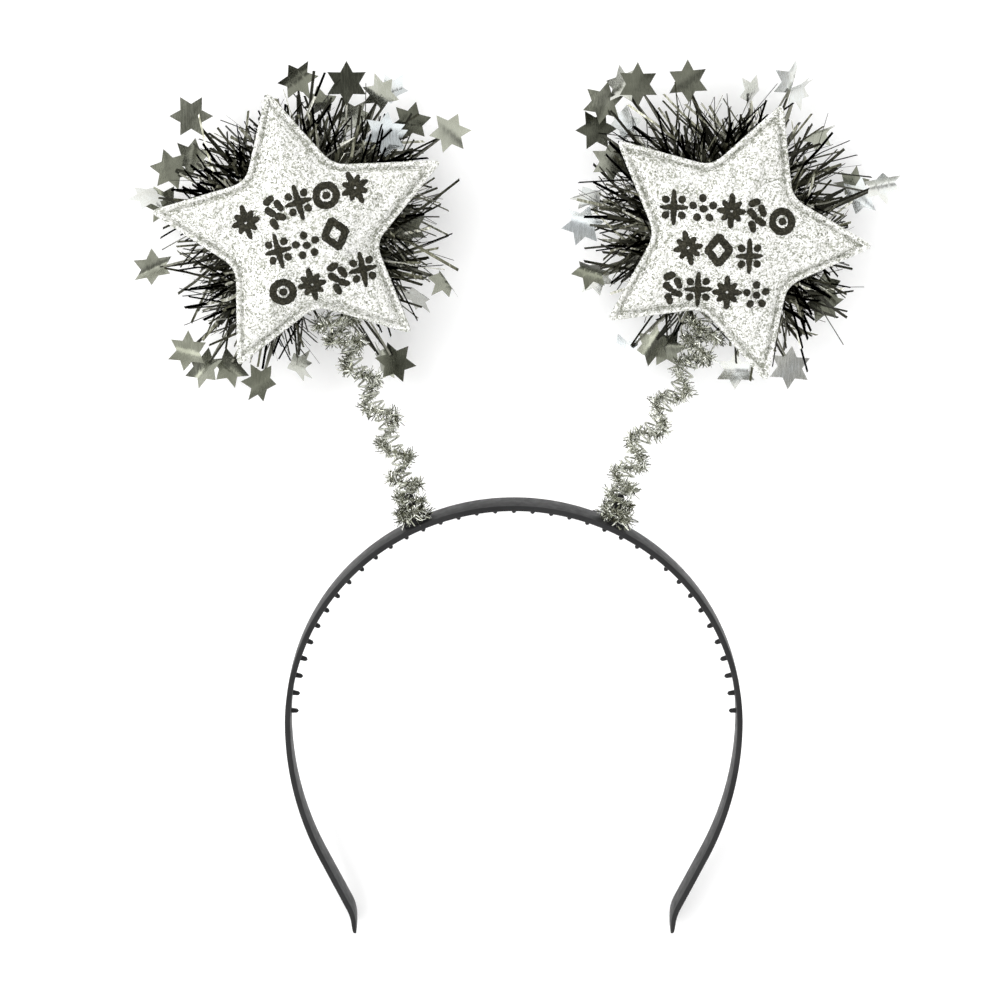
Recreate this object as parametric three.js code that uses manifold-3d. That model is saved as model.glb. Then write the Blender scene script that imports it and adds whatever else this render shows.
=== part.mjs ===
// New year headband: a comb-tooth plastic band whose two springs carry padded glitter stars.
// Millimetres. It lies on its back: +Z is up and the fronts of the stars face up, +Y runs from the
// ends of the band to the stars, and +X is to the right, seen from above.
import * as THREE from "three";
import { mergeVertices } from "three/addons/utils/BufferGeometryUtils.js";
import Module from "manifold-3d";

const wasm = await Module();
wasm.setup();

// Gap that neighbouring pieces keep
const clearance = 0.3;

// Band, drawn in its own plane: x across it, y towards the crown, z from its rear edge to its front edge
const bandHalfWidth = 70; // middle to the outer face, where the band is widest
const crownHeight = 70.7; // widest line to the outer face of the crown
const bandThickness = 1.7;
const bandDepth = 10; // rear edge to front edge
const legRadius = 100; // outer face of the curved part of a leg
const legTurn = 26; // degrees that a leg turns inwards
const gripLength = 21; // straight stretch of a leg
const endLength = 6; // end of a leg, bent back parallel to the other one
const bandTilt = 8.5; // degrees that the crown is raised while the band lies down
const crownFacets = 33; // odd, so that one facet is centred on the crown
const legFacets = 7;

// Comb teeth on the inner face
const teethPerSide = 18;
const toothSides = 5;
const toothSpan = 87; // degrees from the crown to the last tooth
const toothLength = 2.2;
const toothRootRadius = 0.85;
const toothTipRadius = 0.6;
const toothSetBack = 0.8; // middle of the teeth, behind the middle of the strip
const rootSink = 0.9; // how deep teeth and studs run into the strip

// Studs that the springs are pushed on
const studTurn = 25.3; // degrees from the crown to a stud
const studHeight = 3;
const studBaseRadius = 3.4;
const studTopRadius = 2.7;
const studSides = 12;
const pegLength = 6;
const pegRadius = 1.4;
const pegSides = 8;

// Springs
const springRadius = 2.4; // to the middle of the wire
const springWireRadius = 0.3;
const springWireSides = 5;
const springPitch = 3.3;
const stepsPerTurn = 6; // of a coil's faceted wire
const rootHandle = 24; // how far a spring keeps the direction of the peg on the band
const headHandle = 42; // and of the peg behind the star

// Silver tinsel wound round a spring
const tinselWireRadius = 0.4;
const tinselWireSides = 4;
const tinselSlack = 0.1; // extra room between the tinsel and the spring
const tinselPitch = 13.2;
const tinselStepsPerTurn = 8;
const tinselClumpTurns = 1.6; // extra turns, close together, at the foot of the spring
const tinselClumpLength = 5;
const tinselLockLength = 3;
const tinselLockRadius = 0.9; // where it leaves the wire
const tinselLockTipRadius = 0.2;
const tinselLockSpacing = 9; // along the tinsel's own wire
const tinselStop = 30; // middle of the star to the end of the tinsel

// Padded stars
const starBackHeight = 27; // floor to the flat back of a star
const starNotch = 22.3; // middle to the corner of a notch, before rounding
const tipRound = 3;
const notchRound = 6;
const starPuff = 9.8; // flat back to the top of the padding

// Block behind a star that holds the spring's upper end
const socketWidth = 8;
const socketHeight = 6.2;
const socketAxisDrop = 3.9; // back of the star to the axis of the spring

// Wreath of black tinsel behind a star
const wreathCoreRadius = 12;
const wreathCoreThickness = 2; // radius of the wound core itself
const wreathOpening = 32; // degrees to each side of the spring that the core leaves free
const lockBaseRadius = 1.2;
const lockTipRadius = 0.4;
const lockSides = 3;
const coreSides = 6;
const coreSteps = 14;

// Foil stars
const foilReach = 6.5; // middle to a point
const foilNotch = 3.7; // middle to a notch
const foilThickness = 0.4;

// Each side with its star: lean is in degrees from straight up, and tip reach is a share of starReach.
// The foils stand round the star: turn and twist in degrees, reach from its middle, height over the floor.
const sides = [
  {
    name: "left",
    sign: -1,
    starSpread: 33.2, // foot of the spring to the middle of the star, across
    starRise: 87.6, // and along
    rootLean: 12,
    headLean: 20,
    starReach: 44.5,
    tips: [
      { turn: 27, reach: 1.045 },
      { turn: 103.5, reach: 0.955 },
      { turn: 172, reach: 1.015 },
      { turn: 244, reach: 0.99 },
      { turn: 317.5, reach: 0.99 },
    ],
    foils: [
      { turn: 2, reach: 31, height: 18, twist: 10 },
      { turn: 34, reach: 53, height: 21, twist: 12 },
      { turn: 47, reach: 37.5, height: 20, twist: 10 },
      { turn: 60, reach: 47, height: 16, twist: 30 },
      { turn: 73, reach: 46, height: 23, twist: 0 },
      { turn: 92, reach: 45, height: 17, twist: 12 },
      { turn: 134, reach: 47.5, height: 21, twist: 10 },
      { turn: 155, reach: 43.5, height: 19, twist: 20 },
      { turn: 168, reach: 48, height: 11, twist: 60 },
      { turn: 194, reach: 46.5, height: 19, twist: 15 },
      { turn: 226, reach: 50.5, height: 18, twist: 20 },
      { turn: 241, reach: 48, height: 10, twist: 10 },
      { turn: 254, reach: 47.5, height: 20, twist: 30 },
      { turn: 304, reach: 48.5, height: 11, twist: 15 },
      { turn: 329, reach: 39, height: 12, twist: 60 },
      { turn: 341, reach: 45, height: 20, twist: 50 },
    ],
  },
  {
    name: "right",
    sign: 1,
    starSpread: 34,
    starRise: 85.8,
    rootLean: 14,
    headLean: 12,
    starReach: 43.3,
    tips: [
      { turn: 69, reach: 0.98 },
      { turn: 139, reach: 1.02 },
      { turn: 214, reach: 1.0 },
      { turn: 285, reach: 1.02 },
      { turn: 357, reach: 0.985 },
    ],
    foils: [
      { turn: 16, reach: 42, height: 11, twist: 10 },
      { turn: 19, reach: 48.5, height: 21, twist: 15 },
      { turn: 49, reach: 41, height: 17, twist: 55 },
      { turn: 67, reach: 50, height: 13, twist: 50 },
      { turn: 105, reach: 48, height: 21, twist: 8 },
      { turn: 121, reach: 53, height: 21, twist: 15 },
      { turn: 133, reach: 54.5, height: 17, twist: 10 },
      { turn: 147, reach: 41.5, height: 20, twist: 15 },
      { turn: 164, reach: 42.5, height: 15, twist: 55 },
      { turn: 175, reach: 43.5, height: 21, twist: 12 },
      { turn: 194, reach: 42, height: 18, twist: 40 },
      { turn: 229, reach: 46.5, height: 19, twist: 20 },
      { turn: 237, reach: 40, height: 9, twist: 10 },
      { turn: 275, reach: 41, height: 11, twist: 12 },
      { turn: 296, reach: 43.5, height: 20, twist: 0 },
      { turn: 325, reach: 36, height: 13, twist: 20 },
    ],
  },
];

// Section of a padded star from the edge of its back to the top: share of the outline, share of the height
const puffRows = [
  { share: 1, height: 0 },
  { share: 1, height: 0.13 },
  { share: 0.965, height: 0.16 },
  { share: 0.925, height: 0.09 },
  { share: 0.89, height: 0.3 },
  { share: 0.8, height: 0.55 },
  { share: 0.64, height: 0.78 },
  { share: 0.42, height: 0.93 },
  { share: 0.2, height: 0.99 },
];

// Rows of free black locks: reach of their ends from the star's middle, height of the ends over the floor
// (those that end under it are trimmed level with it), how many go round, and the turn of the first in degrees
const lockRows = [
  { reach: 33, height: 22, count: 9, start: 8 },
  { reach: 30, height: 10, count: 9, start: 0 },
  { reach: 21, height: -1, count: 10, start: 14 },
];

// Materials
const plastic = new THREE.MeshStandardMaterial({ color: 0x3c3c3d, roughness: 0.45, metalness: 0 });
const steel = new THREE.MeshStandardMaterial({ color: 0xb4b4ac, roughness: 0.3, metalness: 1 });
const silver = new THREE.MeshStandardMaterial({ color: 0xa6a69a, roughness: 0.3, metalness: 0.9 });
const glitter = new THREE.MeshStandardMaterial({ color: 0xe4e4e0, roughness: 0.5, metalness: 0.4 });
const blackFilm = new THREE.MeshStandardMaterial({ color: 0x1a1912, roughness: 0.35, metalness: 0.6 });
const foil = new THREE.MeshStandardMaterial({ color: 0x8f9284, roughness: 0.3, metalness: 0.9 });

// Helpers
const { degToRad } = THREE.MathUtils;
const vector = (x, y, z) => new THREE.Vector3(x, y, z);
const up = vector(0, 0, 1);

function polar(turn, reach, z = 0) {
  const angle = degToRad(turn);
  return vector(reach * Math.cos(angle), reach * Math.sin(angle), z);
}

// Degrees between two directions, the short way round
function turnBetween(a, b) {
  return Math.abs(((a - b + 540) % 360) - 180);
}

class Route extends THREE.Curve {
  constructor(place) {
    super();
    this.place = place;
    this.arcLengthDivisions = 1500;
  }

  getPoint(t) {
    return this.place(t);
  }
}

function roundShape(radius, count) {
  const corners = Array.from({ length: count }, (_, i) => polar((360 * i) / count, radius));
  return new THREE.Shape(corners.map((p) => new THREE.Vector2(p.x, p.y)));
}

function rod(route, radius, count, steps) {
  return new THREE.ExtrudeGeometry(roundShape(radius, count), { steps, extrudePath: route });
}

function solid(geometry) {
  const bare = geometry.clone();
  bare.deleteAttribute("normal");
  bare.deleteAttribute("uv");
  const merged = mergeVertices(bare);
  return new wasm.Manifold(
    new wasm.Mesh({
      numProp: 3,
      vertProperties: new Float32Array(merged.attributes.position.array),
      triVerts: new Uint32Array(merged.index.array),
    }),
  );
}

function geometryOf(body) {
  const mesh = body.getMesh();
  const geometry = new THREE.BufferGeometry();
  geometry.setAttribute("position", new THREE.BufferAttribute(mesh.vertProperties, 3));
  geometry.setIndex(new THREE.BufferAttribute(mesh.triVerts, 1));
  geometry.computeVertexNormals();
  return geometry;
}

function join(bodies) {
  return bodies.reduce((whole, body) => whole.add(body));
}

function named(name, geometry, material) {
  const mesh = new THREE.Mesh(geometry, material);
  mesh.name = name;
  return mesh;
}

// A round piece that tapers from one point to the other
function taper(from, to, fromRadius, toRadius, count) {
  const along = to.clone().sub(from);
  const shape = new THREE.CylinderGeometry(toRadius, fromRadius, along.length(), count, 1);
  shape.applyQuaternion(new THREE.Quaternion().setFromUnitVectors(vector(0, 1, 0), along.clone().normalize()));
  const middle = from.clone().add(to).multiplyScalar(0.5);
  return shape.translate(middle.x, middle.y, middle.z);
}

// Band: points of its outer face with the way out, from the crown to the end of the right leg
function crownPoint(turn) {
  const angle = degToRad(turn);
  const out = new THREE.Vector2(crownHeight * Math.sin(angle), bandHalfWidth * Math.cos(angle)).normalize();
  return { x: bandHalfWidth * Math.sin(angle), y: crownHeight * Math.cos(angle), out };
}

function legPoint(turn) {
  const angle = degToRad(turn);
  const out = new THREE.Vector2(Math.cos(angle), -Math.sin(angle));
  return { x: bandHalfWidth - legRadius + legRadius * out.x, y: legRadius * out.y, out };
}

function bandLine() {
  const line = [];
  const facetTurn = 180 / crownFacets;
  for (let i = 0; i < (crownFacets - 1) / 2; i += 1) {
    line.push(crownPoint((i + 0.5) * facetTurn));
  }
  for (let i = 0; i <= legFacets; i += 1) {
    line.push(legPoint((legTurn * i) / legFacets));
  }
  const lean = degToRad(legTurn);
  const gripStart = line[line.length - 1];
  const bendOut = new THREE.Vector2(Math.cos(lean / 2), -Math.sin(lean / 2)).divideScalar(Math.cos(lean / 2));
  const bend = {
    x: gripStart.x - gripLength * Math.sin(lean),
    y: gripStart.y - gripLength * Math.cos(lean),
    out: bendOut,
  };
  line.push(bend, { x: bend.x, y: bend.y - endLength, out: new THREE.Vector2(1, 0) });
  return line;
}

function bandOutline() {
  const outer = bandLine();
  const inner = outer.map(({ x, y, out }) => ({ x: x - bandThickness * out.x, y: y - bandThickness * out.y }));
  const rightHalf = [...outer, ...inner.reverse()];
  const outerCount = outer.length;
  const leftOuter = rightHalf.slice(0, outerCount).map(({ x, y }) => ({ x: -x, y }));
  const leftInner = rightHalf.slice(outerCount).map(({ x, y }) => ({ x: -x, y }));
  const all = [...rightHalf, ...leftInner.reverse(), ...leftOuter.reverse()];
  return new THREE.Shape(all.map(({ x, y }) => new THREE.Vector2(x, y)));
}

function strip() {
  const geometry = new THREE.ExtrudeGeometry(bandOutline(), { depth: bandDepth, bevelEnabled: false });
  return geometry.translate(0, 0, -bandDepth / 2);
}

function tooth(turn) {
  const { x, y, out } = crownPoint(turn);
  const place = (depth) => vector(x - depth * out.x, y - depth * out.y, -toothSetBack);
  return taper(
    place(bandThickness - rootSink),
    place(bandThickness + toothLength),
    toothRootRadius,
    toothTipRadius,
    toothSides,
  );
}

// Group that lays the band down, with the rear edges of its ends on the floor
const bandFrame = new THREE.Group();
const endPoint = bandLine().at(-1);
bandFrame.rotation.x = degToRad(bandTilt);
bandFrame.position.z =
  -endPoint.y * Math.sin(bandFrame.rotation.x) + (bandDepth / 2) * Math.cos(bandFrame.rotation.x);
bandFrame.updateMatrixWorld();

// Foot of a spring on the band's outer face, and the level direction in which its peg points
function springFoot(side) {
  const { x, y } = crownPoint(studTurn);
  return vector(side.sign * x, y, 0).applyMatrix4(bandFrame.matrixWorld);
}

function leanDirection(side, lean) {
  return vector(side.sign * Math.sin(degToRad(lean)), Math.cos(degToRad(lean)), 0);
}

function stud(side) {
  const toBand = bandFrame.matrixWorld.clone().invert();
  const foot = springFoot(side);
  const direction = leanDirection(side, side.rootLean);
  const place = (distance) => foot.clone().addScaledVector(direction, distance).applyMatrix4(toBand);
  const cone = taper(place(-rootSink), place(studHeight), studBaseRadius, studTopRadius, studSides);
  const peg = taper(place(0), place(studHeight + pegLength), pegRadius, pegRadius, pegSides);
  return solid(cone).add(solid(peg));
}

function headband() {
  const teeth = [];
  for (let i = -teethPerSide; i <= teethPerSide; i += 1) {
    teeth.push(solid(tooth((toothSpan * i) / teethPerSide)));
  }
  return join([solid(strip()), ...teeth, ...sides.map(stud)]);
}

// Middle of a star's flat back
function starMiddle(side) {
  const foot = springFoot(side);
  return vector(foot.x + side.sign * side.starSpread, foot.y + side.starRise, starBackHeight);
}

// Direction from a star's middle to its spring, in degrees
function springTurn(side) {
  return 270 - side.sign * side.headLean;
}

// Axis of a spring: straight on each peg, and a smooth curve between them
function springAxis(side) {
  const rootWay = leanDirection(side, side.rootLean);
  const headWay = leanDirection(side, side.headLean);
  const endGap = clearance + springWireRadius;
  const start = springFoot(side).addScaledVector(rootWay, studHeight + endGap);
  const head = starMiddle(side).addScaledVector(headWay, -socketWidth / 2 - endGap);
  head.z -= socketAxisDrop;
  const rootPegEnd = start.clone().addScaledVector(rootWay, pegLength);
  const headPegEnd = head.clone().addScaledVector(headWay, -pegLength);
  const axis = new THREE.CurvePath();
  axis.add(new THREE.LineCurve3(start, rootPegEnd));
  axis.add(
    new THREE.CubicBezierCurve3(
      rootPegEnd,
      rootPegEnd.clone().addScaledVector(rootWay, rootHandle),
      headPegEnd.clone().addScaledVector(headWay, -headHandle),
      headPegEnd,
    ),
  );
  axis.add(new THREE.LineCurve3(headPegEnd, head));
  return axis;
}

// A helix round an axis: turnsAt gives the turns made up to a share of the axis
function coilRoute(axis, radius, turnsAt, end = 1) {
  return new Route((t) => {
    const share = Math.min(t * end, 0.9999);
    const ahead = axis.getTangent(share);
    const aside = ahead.clone().cross(up).normalize();
    const above = aside.clone().cross(ahead);
    const angle = 2 * Math.PI * turnsAt(t * end);
    return axis
      .getPoint(share)
      .addScaledVector(aside, radius * Math.cos(angle))
      .addScaledVector(above, radius * Math.sin(angle));
  });
}

function spring(side) {
  const axis = springAxis(side);
  const turns = Math.round(axis.getLength() / springPitch);
  const route = coilRoute(axis, springRadius, (share) => turns * share);
  return rod(route, springWireRadius, springWireSides, turns * stepsPerTurn);
}

function silverTinsel(side) {
  const axis = springAxis(side);
  const length = axis.getLength();
  const end = 1 - (tinselStop - socketWidth / 2) / length;
  const radius = springRadius + springWireRadius + clearance + tinselWireRadius + tinselSlack;
  const turnsAt = (share) => {
    const distance = share * length;
    return distance / tinselPitch + tinselClumpTurns * (1 - Math.exp(-distance / tinselClumpLength));
  };
  const route = coilRoute(axis, radius, turnsAt, end);
  const core = rod(route, tinselWireRadius, tinselWireSides, Math.round(turnsAt(end) * tinselStepsPerTurn));
  const lockCount = Math.floor(route.getLength() / tinselLockSpacing);
  const locks = [];
  for (let i = 0; i < lockCount; i += 1) {
    const share = (i + 0.5) / lockCount;
    const foot = route.getPointAt(share);
    const middle = coilRoute(axis, 0, turnsAt, end).getPoint(route.getUtoTmapping(share));
    const away = foot.clone().sub(middle).normalize();
    const tip = foot.clone().addScaledVector(away, tinselLockLength);
    locks.push(solid(taper(foot, tip, tinselLockRadius, tinselLockTipRadius, lockSides)));
  }
  return join([solid(core), ...locks]);
}

// Outline of a padded star: straight flanks, small round tips and wider round notches
function starOutline(side) {
  const corners = [];
  side.tips.forEach((tip, i) => {
    const next = side.tips[(i + 1) % side.tips.length];
    const nextTurn = next.turn > tip.turn ? next.turn : next.turn + 360;
    corners.push({ at: polar(tip.turn, side.starReach * tip.reach), round: tipRound });
    corners.push({ at: polar((tip.turn + nextTurn) / 2, starNotch), round: notchRound });
  });
  const points = [];
  corners.forEach(({ at, round }, i) => {
    const before = corners.at(i - 1).at;
    const after = corners[(i + 1) % corners.length].at;
    const start = at.clone().addScaledVector(before.clone().sub(at).normalize(), round);
    const end = at.clone().addScaledVector(after.clone().sub(at).normalize(), round);
    points.push(...new THREE.QuadraticBezierCurve3(start, at, end).getPoints(2));
  });
  return points;
}

// The padding follows puffRows inwards from the outline, so its height only depends on the way to the edge
function puffedStar(side) {
  const outline = starOutline(side);
  const rows = [{ share: 0, height: 0 }, ...puffRows, { share: 0, height: 1 }];
  const profile = rows.map(({ share, height }) => new THREE.Vector2(share, height));
  const geometry = new THREE.LatheGeometry(profile, outline.length);
  const position = geometry.attributes.position;
  for (let i = 0; i < position.count; i += 1) {
    const point = outline[Math.floor(i / rows.length) % outline.length];
    const row = rows[i % rows.length];
    position.setXYZ(i, point.x * row.share, point.y * row.share, row.height * starPuff);
  }
  return geometryOf(solid(geometry));
}

// Block on the star's back with the peg that the spring's upper end is pushed on, along x
function springSocket() {
  const block = new THREE.BoxGeometry(socketWidth, socketWidth, socketHeight);
  block.translate(0, 0, -clearance - socketHeight / 2);
  const pegStart = vector(0, 0, -socketAxisDrop);
  const pegEnd = vector(socketWidth / 2 + pegLength, 0, -socketAxisDrop);
  return solid(block).add(solid(taper(pegStart, pegEnd, pegRadius, pegRadius, pegSides)));
}

// Place on the wound core of the wreath nearest to a direction
function coreTurn(side, turn) {
  const away = ((turn - springTurn(side) + 540) % 360) - 180;
  const limit = wreathOpening + 2;
  return Math.abs(away) >= limit ? turn : springTurn(side) + Math.sign(away) * limit;
}

function wreath(side) {
  const coreDepth = -clearance - wreathCoreThickness;
  const opening = springTurn(side) + wreathOpening;
  const core = new Route((t) => polar(opening + t * (360 - 2 * wreathOpening), wreathCoreRadius, coreDepth));
  const lock = (turn, end) => {
    const foot = polar(coreTurn(side, turn), wreathCoreRadius, coreDepth);
    return solid(taper(foot, end, lockBaseRadius, lockTipRadius, lockSides));
  };
  const carriers = side.foils.map(({ turn, reach, height }) => {
    const foot = polar(coreTurn(side, turn), wreathCoreRadius, coreDepth);
    const tie = polar(turn, reach - foilReach, height - starBackHeight);
    return lock(turn, tie.addScaledVector(tie.clone().sub(foot).normalize(), -clearance));
  });
  const free = [];
  lockRows.forEach(({ reach, height, count, start }) => {
    for (let i = 0; i < count; i += 1) {
      const turn = start + (360 * i) / count;
      if (turnBetween(turn, springTurn(side)) > wreathOpening) {
        free.push(lock(turn, polar(turn, reach, height - starBackHeight)));
      }
    }
  });
  const whole = join([solid(rod(core, wreathCoreThickness, coreSides, coreSteps)), ...carriers, ...free]);
  const span = 4 * side.starReach;
  const overFloor = new THREE.BoxGeometry(span, span, starBackHeight);
  overFloor.translate(0, 0, -starBackHeight / 2);
  return whole.intersect(solid(overFloor));
}

function foilStar() {
  const corners = Array.from({ length: 12 }, (_, i) => polar(30 * i, i % 2 ? foilNotch : foilReach));
  const shape = new THREE.Shape(corners.map((p) => new THREE.Vector2(p.x, p.y)));
  const geometry = new THREE.ExtrudeGeometry(shape, { depth: foilThickness, bevelEnabled: false });
  return geometry.translate(0, 0, -foilThickness / 2);
}

// A star with all that sits behind it, in a group at the middle of its back
function starGroup(side) {
  const group = new THREE.Group();
  group.position.copy(starMiddle(side));
  const socket = named(`spring_socket_${side.name}`, geometryOf(springSocket()), plastic);
  socket.rotation.z = degToRad(springTurn(side));
  group.add(
    named(`puffed_star_${side.name}`, puffedStar(side), glitter),
    named(`tinsel_wreath_${side.name}`, geometryOf(wreath(side)), blackFilm),
    socket,
  );
  side.foils.forEach(({ turn, reach, height, twist }, i) => {
    const number = String(i + 1).padStart(2, "0");
    const mesh = named(`foil_star_${side.name}_${number}`, foilStar(), foil);
    mesh.position.copy(polar(turn, reach, height - starBackHeight));
    mesh.rotation.set(degToRad(twist), 0, degToRad(turn), "ZYX");
    group.add(mesh);
  });
  return group;
}

// Assembly
bandFrame.add(named("headband", geometryOf(headband()), plastic));
const part = new THREE.Group();
part.add(bandFrame);
sides.forEach((side) => {
  part.add(
    named(`spring_${side.name}`, spring(side), steel),
    named(`silver_tinsel_${side.name}`, geometryOf(silverTinsel(side)), silver),
    starGroup(side),
  );
});

// The origin is under the middle of the whole, on the floor
const box = new THREE.Box3().setFromObject(part, true);
part.position.set(-(box.min.x + box.max.x) / 2, -(box.min.y + box.max.y) / 2, -box.min.z);

export default part;
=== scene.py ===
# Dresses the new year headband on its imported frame. Metres, +Z up, the stars at +Y.
import math
import random

import bmesh
import bpy
import numpy as np
from mathutils import Euler, Matrix, Vector
from mathutils.bvhtree import BVHTree
from mathutils.geometry import delaunay_2d_cdt


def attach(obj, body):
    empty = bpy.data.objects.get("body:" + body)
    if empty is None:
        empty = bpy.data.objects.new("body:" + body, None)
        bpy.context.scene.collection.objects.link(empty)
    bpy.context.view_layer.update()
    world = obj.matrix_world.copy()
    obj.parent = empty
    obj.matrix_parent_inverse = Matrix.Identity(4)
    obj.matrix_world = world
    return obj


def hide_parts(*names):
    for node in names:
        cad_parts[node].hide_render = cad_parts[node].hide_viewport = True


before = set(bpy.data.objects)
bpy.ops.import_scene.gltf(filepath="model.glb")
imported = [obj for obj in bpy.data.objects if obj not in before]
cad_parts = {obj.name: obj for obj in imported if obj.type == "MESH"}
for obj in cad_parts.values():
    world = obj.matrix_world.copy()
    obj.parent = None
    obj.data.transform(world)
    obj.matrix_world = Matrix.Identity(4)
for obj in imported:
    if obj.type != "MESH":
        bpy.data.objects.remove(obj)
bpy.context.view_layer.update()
scene = bpy.context.scene
print("frame loaded:", len(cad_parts), "nodes")


# Small helpers for node trees and meshes
def put(tree, kind, inputs=None, **settings):
    node = tree.nodes.new(kind)
    for key, value in settings.items():
        setattr(node, key, value)
    for key, value in (inputs or {}).items():
        if isinstance(value, bpy.types.NodeSocket):
            tree.links.new(value, node.inputs[key])
        else:
            node.inputs[key].default_value = value
    return node


def calc(tree, operation, *values):
    return put(tree, "ShaderNodeMath", dict(enumerate(values)), operation=operation).outputs[0]


def vectorCalc(tree, operation, *values):
    node = put(tree, "ShaderNodeVectorMath", dict(enumerate(values)), operation=operation)
    return node.outputs["Value" if operation in ("DOT_PRODUCT", "LENGTH") else "Vector"]


def scaled(tree, vector, amount):
    node = put(tree, "ShaderNodeVectorMath", {0: vector, "Scale": amount}, operation="SCALE")
    return node.outputs["Vector"]


def randomNumber(tree, low, high, seed, identity=None):
    node = put(tree, "FunctionNodeRandomValue", {2: low, 3: high, "Seed": seed}, data_type="FLOAT")
    if identity is not None:
        tree.links.new(identity, node.inputs["ID"])
    return node.outputs[1]


def randomVector(tree, seed):
    settings = {0: (-1, -1, -1), 1: (1, 1, 1), "Seed": seed}
    return put(tree, "FunctionNodeRandomValue", settings, data_type="FLOAT_VECTOR").outputs[0]


def readAttribute(tree, name, kind="FLOAT_VECTOR"):
    return put(tree, "GeometryNodeInputNamedAttribute", {"Name": name}, data_type=kind).outputs["Attribute"]


def storeAttribute(tree, geometry, name, value, kind="FLOAT_VECTOR", domain="POINT"):
    inputs = {"Geometry": geometry, "Name": name, "Value": value}
    node = put(tree, "GeometryNodeStoreNamedAttribute", inputs, data_type=kind, domain=domain)
    return node.outputs[0]


def newTree(name, sockets):
    tree = bpy.data.node_groups.new(name, "GeometryNodeTree")
    tree.interface.new_socket("Geometry", in_out="INPUT", socket_type="NodeSocketGeometry")
    tree.interface.new_socket("Geometry", in_out="OUTPUT", socket_type="NodeSocketGeometry")
    for label, kind in sockets.items():
        tree.interface.new_socket(label, in_out="INPUT", socket_type="NodeSocket" + kind)
    return tree, tree.nodes.new("NodeGroupInput").outputs


def endTree(tree, geometry, material):
    whole = put(tree, "GeometryNodeRealizeInstances", {"Geometry": geometry}).outputs[0]
    dressed = put(tree, "GeometryNodeSetMaterial", {"Geometry": whole, "Material": material}).outputs[0]
    tree.links.new(dressed, tree.nodes.new("NodeGroupOutput").inputs[0])


def newObject(name, mesh):
    thing = bpy.data.objects.new(name, mesh)
    scene.collection.objects.link(thing)
    return thing


def newMesh(name, points, faces=(), edges=()):
    mesh = bpy.data.meshes.new(name)
    mesh.from_pydata([tuple(p) for p in points], [tuple(e) for e in edges], [tuple(f) for f in faces])
    return mesh


def addAttribute(mesh, name, values, kind="FLOAT_VECTOR"):
    layer = mesh.attributes.new(name, kind, "POINT")
    flat = np.array(values, dtype=np.float32).ravel()
    layer.data.foreach_set("vector" if kind == "FLOAT_VECTOR" else "value", flat)


# Runs a tree on a mesh and gives the result back as a plain mesh
def grow(name, mesh, tree, values):
    thing = newObject(name, mesh)
    modifier = thing.modifiers.new(name, "NODES")
    modifier.node_group = tree
    for item in tree.interface.items_tree:
        if item.in_out == "INPUT" and item.name in values:
            modifier[item.identifier] = values[item.name]
    graph = bpy.context.evaluated_depsgraph_get()
    result = bpy.data.meshes.new_from_object(thing.evaluated_get(graph))
    thing.modifiers.clear()
    bpy.data.objects.remove(thing)
    result.name = name
    return result


# Keeps only what a finished piece needs, and joins meshes into one object
def gather(name, meshes, keep=()):
    whole = bmesh.new()
    slots = []
    for mesh in meshes:
        base = len(slots)
        slots.extend(mesh.materials)
        first = len(whole.faces)
        whole.from_mesh(mesh)
        whole.faces.ensure_lookup_table()
        for face in whole.faces[first:]:
            face.material_index += base
    result = bpy.data.meshes.new(name)
    whole.to_mesh(result)
    whole.free()
    for material in slots:
        result.materials.append(material)
    for layer in list(result.attributes):
        if not layer.is_internal and not layer.is_required and layer.name not in keep:
            if layer.name not in ("material_index", "sharp_face", "sharp_edge"):
                result.attributes.remove(layer)
    return newObject(name, result)


def finishPiece(thing, nodes, smooth=True):
    thing.data.polygons.foreach_set("use_smooth", [smooth] * len(thing.data.polygons))
    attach(thing, "root")
    if nodes:
        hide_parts(*nodes)
    return thing


# Skin over rings of points that follow one another
def skin(rings, capStart=True, capEnd=True):
    count = len(rings[0])
    points = [p for ring in rings for p in ring]
    faces = []
    for i in range(len(rings) - 1):
        for j in range(count):
            a, b = i * count + j, i * count + (j + 1) % count
            faces.append((a, b, b + count, a + count))
    for ring, wanted, flip in ((0, capStart, True), (len(rings) - 1, capEnd, False)):
        if not wanted:
            continue
        middle = len(points)
        points.append(sum((Vector(p) for p in rings[ring]), Vector()) / count)
        for j in range(count):
            a, b = ring * count + j, ring * count + (j + 1) % count
            faces.append((b, a, middle) if flip else (a, b, middle))
    return points, faces


def outward(mesh):
    shell = bmesh.new()
    shell.from_mesh(mesh)
    bmesh.ops.recalc_face_normals(shell, faces=shell.faces)
    shell.to_mesh(mesh)
    shell.free()
    return mesh


# Round piece along an axis, from (distance, radius) pairs
def turned(name, foot, way, profile, sides):
    way = Vector(way).normalized()
    aside = way.orthogonal().normalized()
    across = way.cross(aside)
    rings = []
    for distance, radius in profile:
        turns = [2 * math.pi * j / sides for j in range(sides)]
        rings.append([foot + way * distance + radius * (aside * math.cos(t) + across * math.sin(t)) for t in turns])
    return outward(newMesh(name, *skin(rings)))


# Materials
def newMaterial(name, color, roughness, metallic=0.0):
    material = bpy.data.materials.new(name)
    material.use_nodes = True
    shader = material.node_tree.nodes["Principled BSDF"]
    shader.inputs["Base Color"].default_value = (*color, 1)
    shader.inputs["Roughness"].default_value = roughness
    shader.inputs["Metallic"].default_value = metallic
    place = put(material.node_tree, "ShaderNodeTexCoord").outputs["Object"]
    return material, material.node_tree, shader, place


def noiseOf(tree, place, scale, detail=2.0, roughness=0.5):
    inputs = {"Vector": place, "Scale": scale, "Detail": detail, "Roughness": roughness}
    return put(tree, "ShaderNodeTexNoise", inputs).outputs["Fac"]


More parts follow.
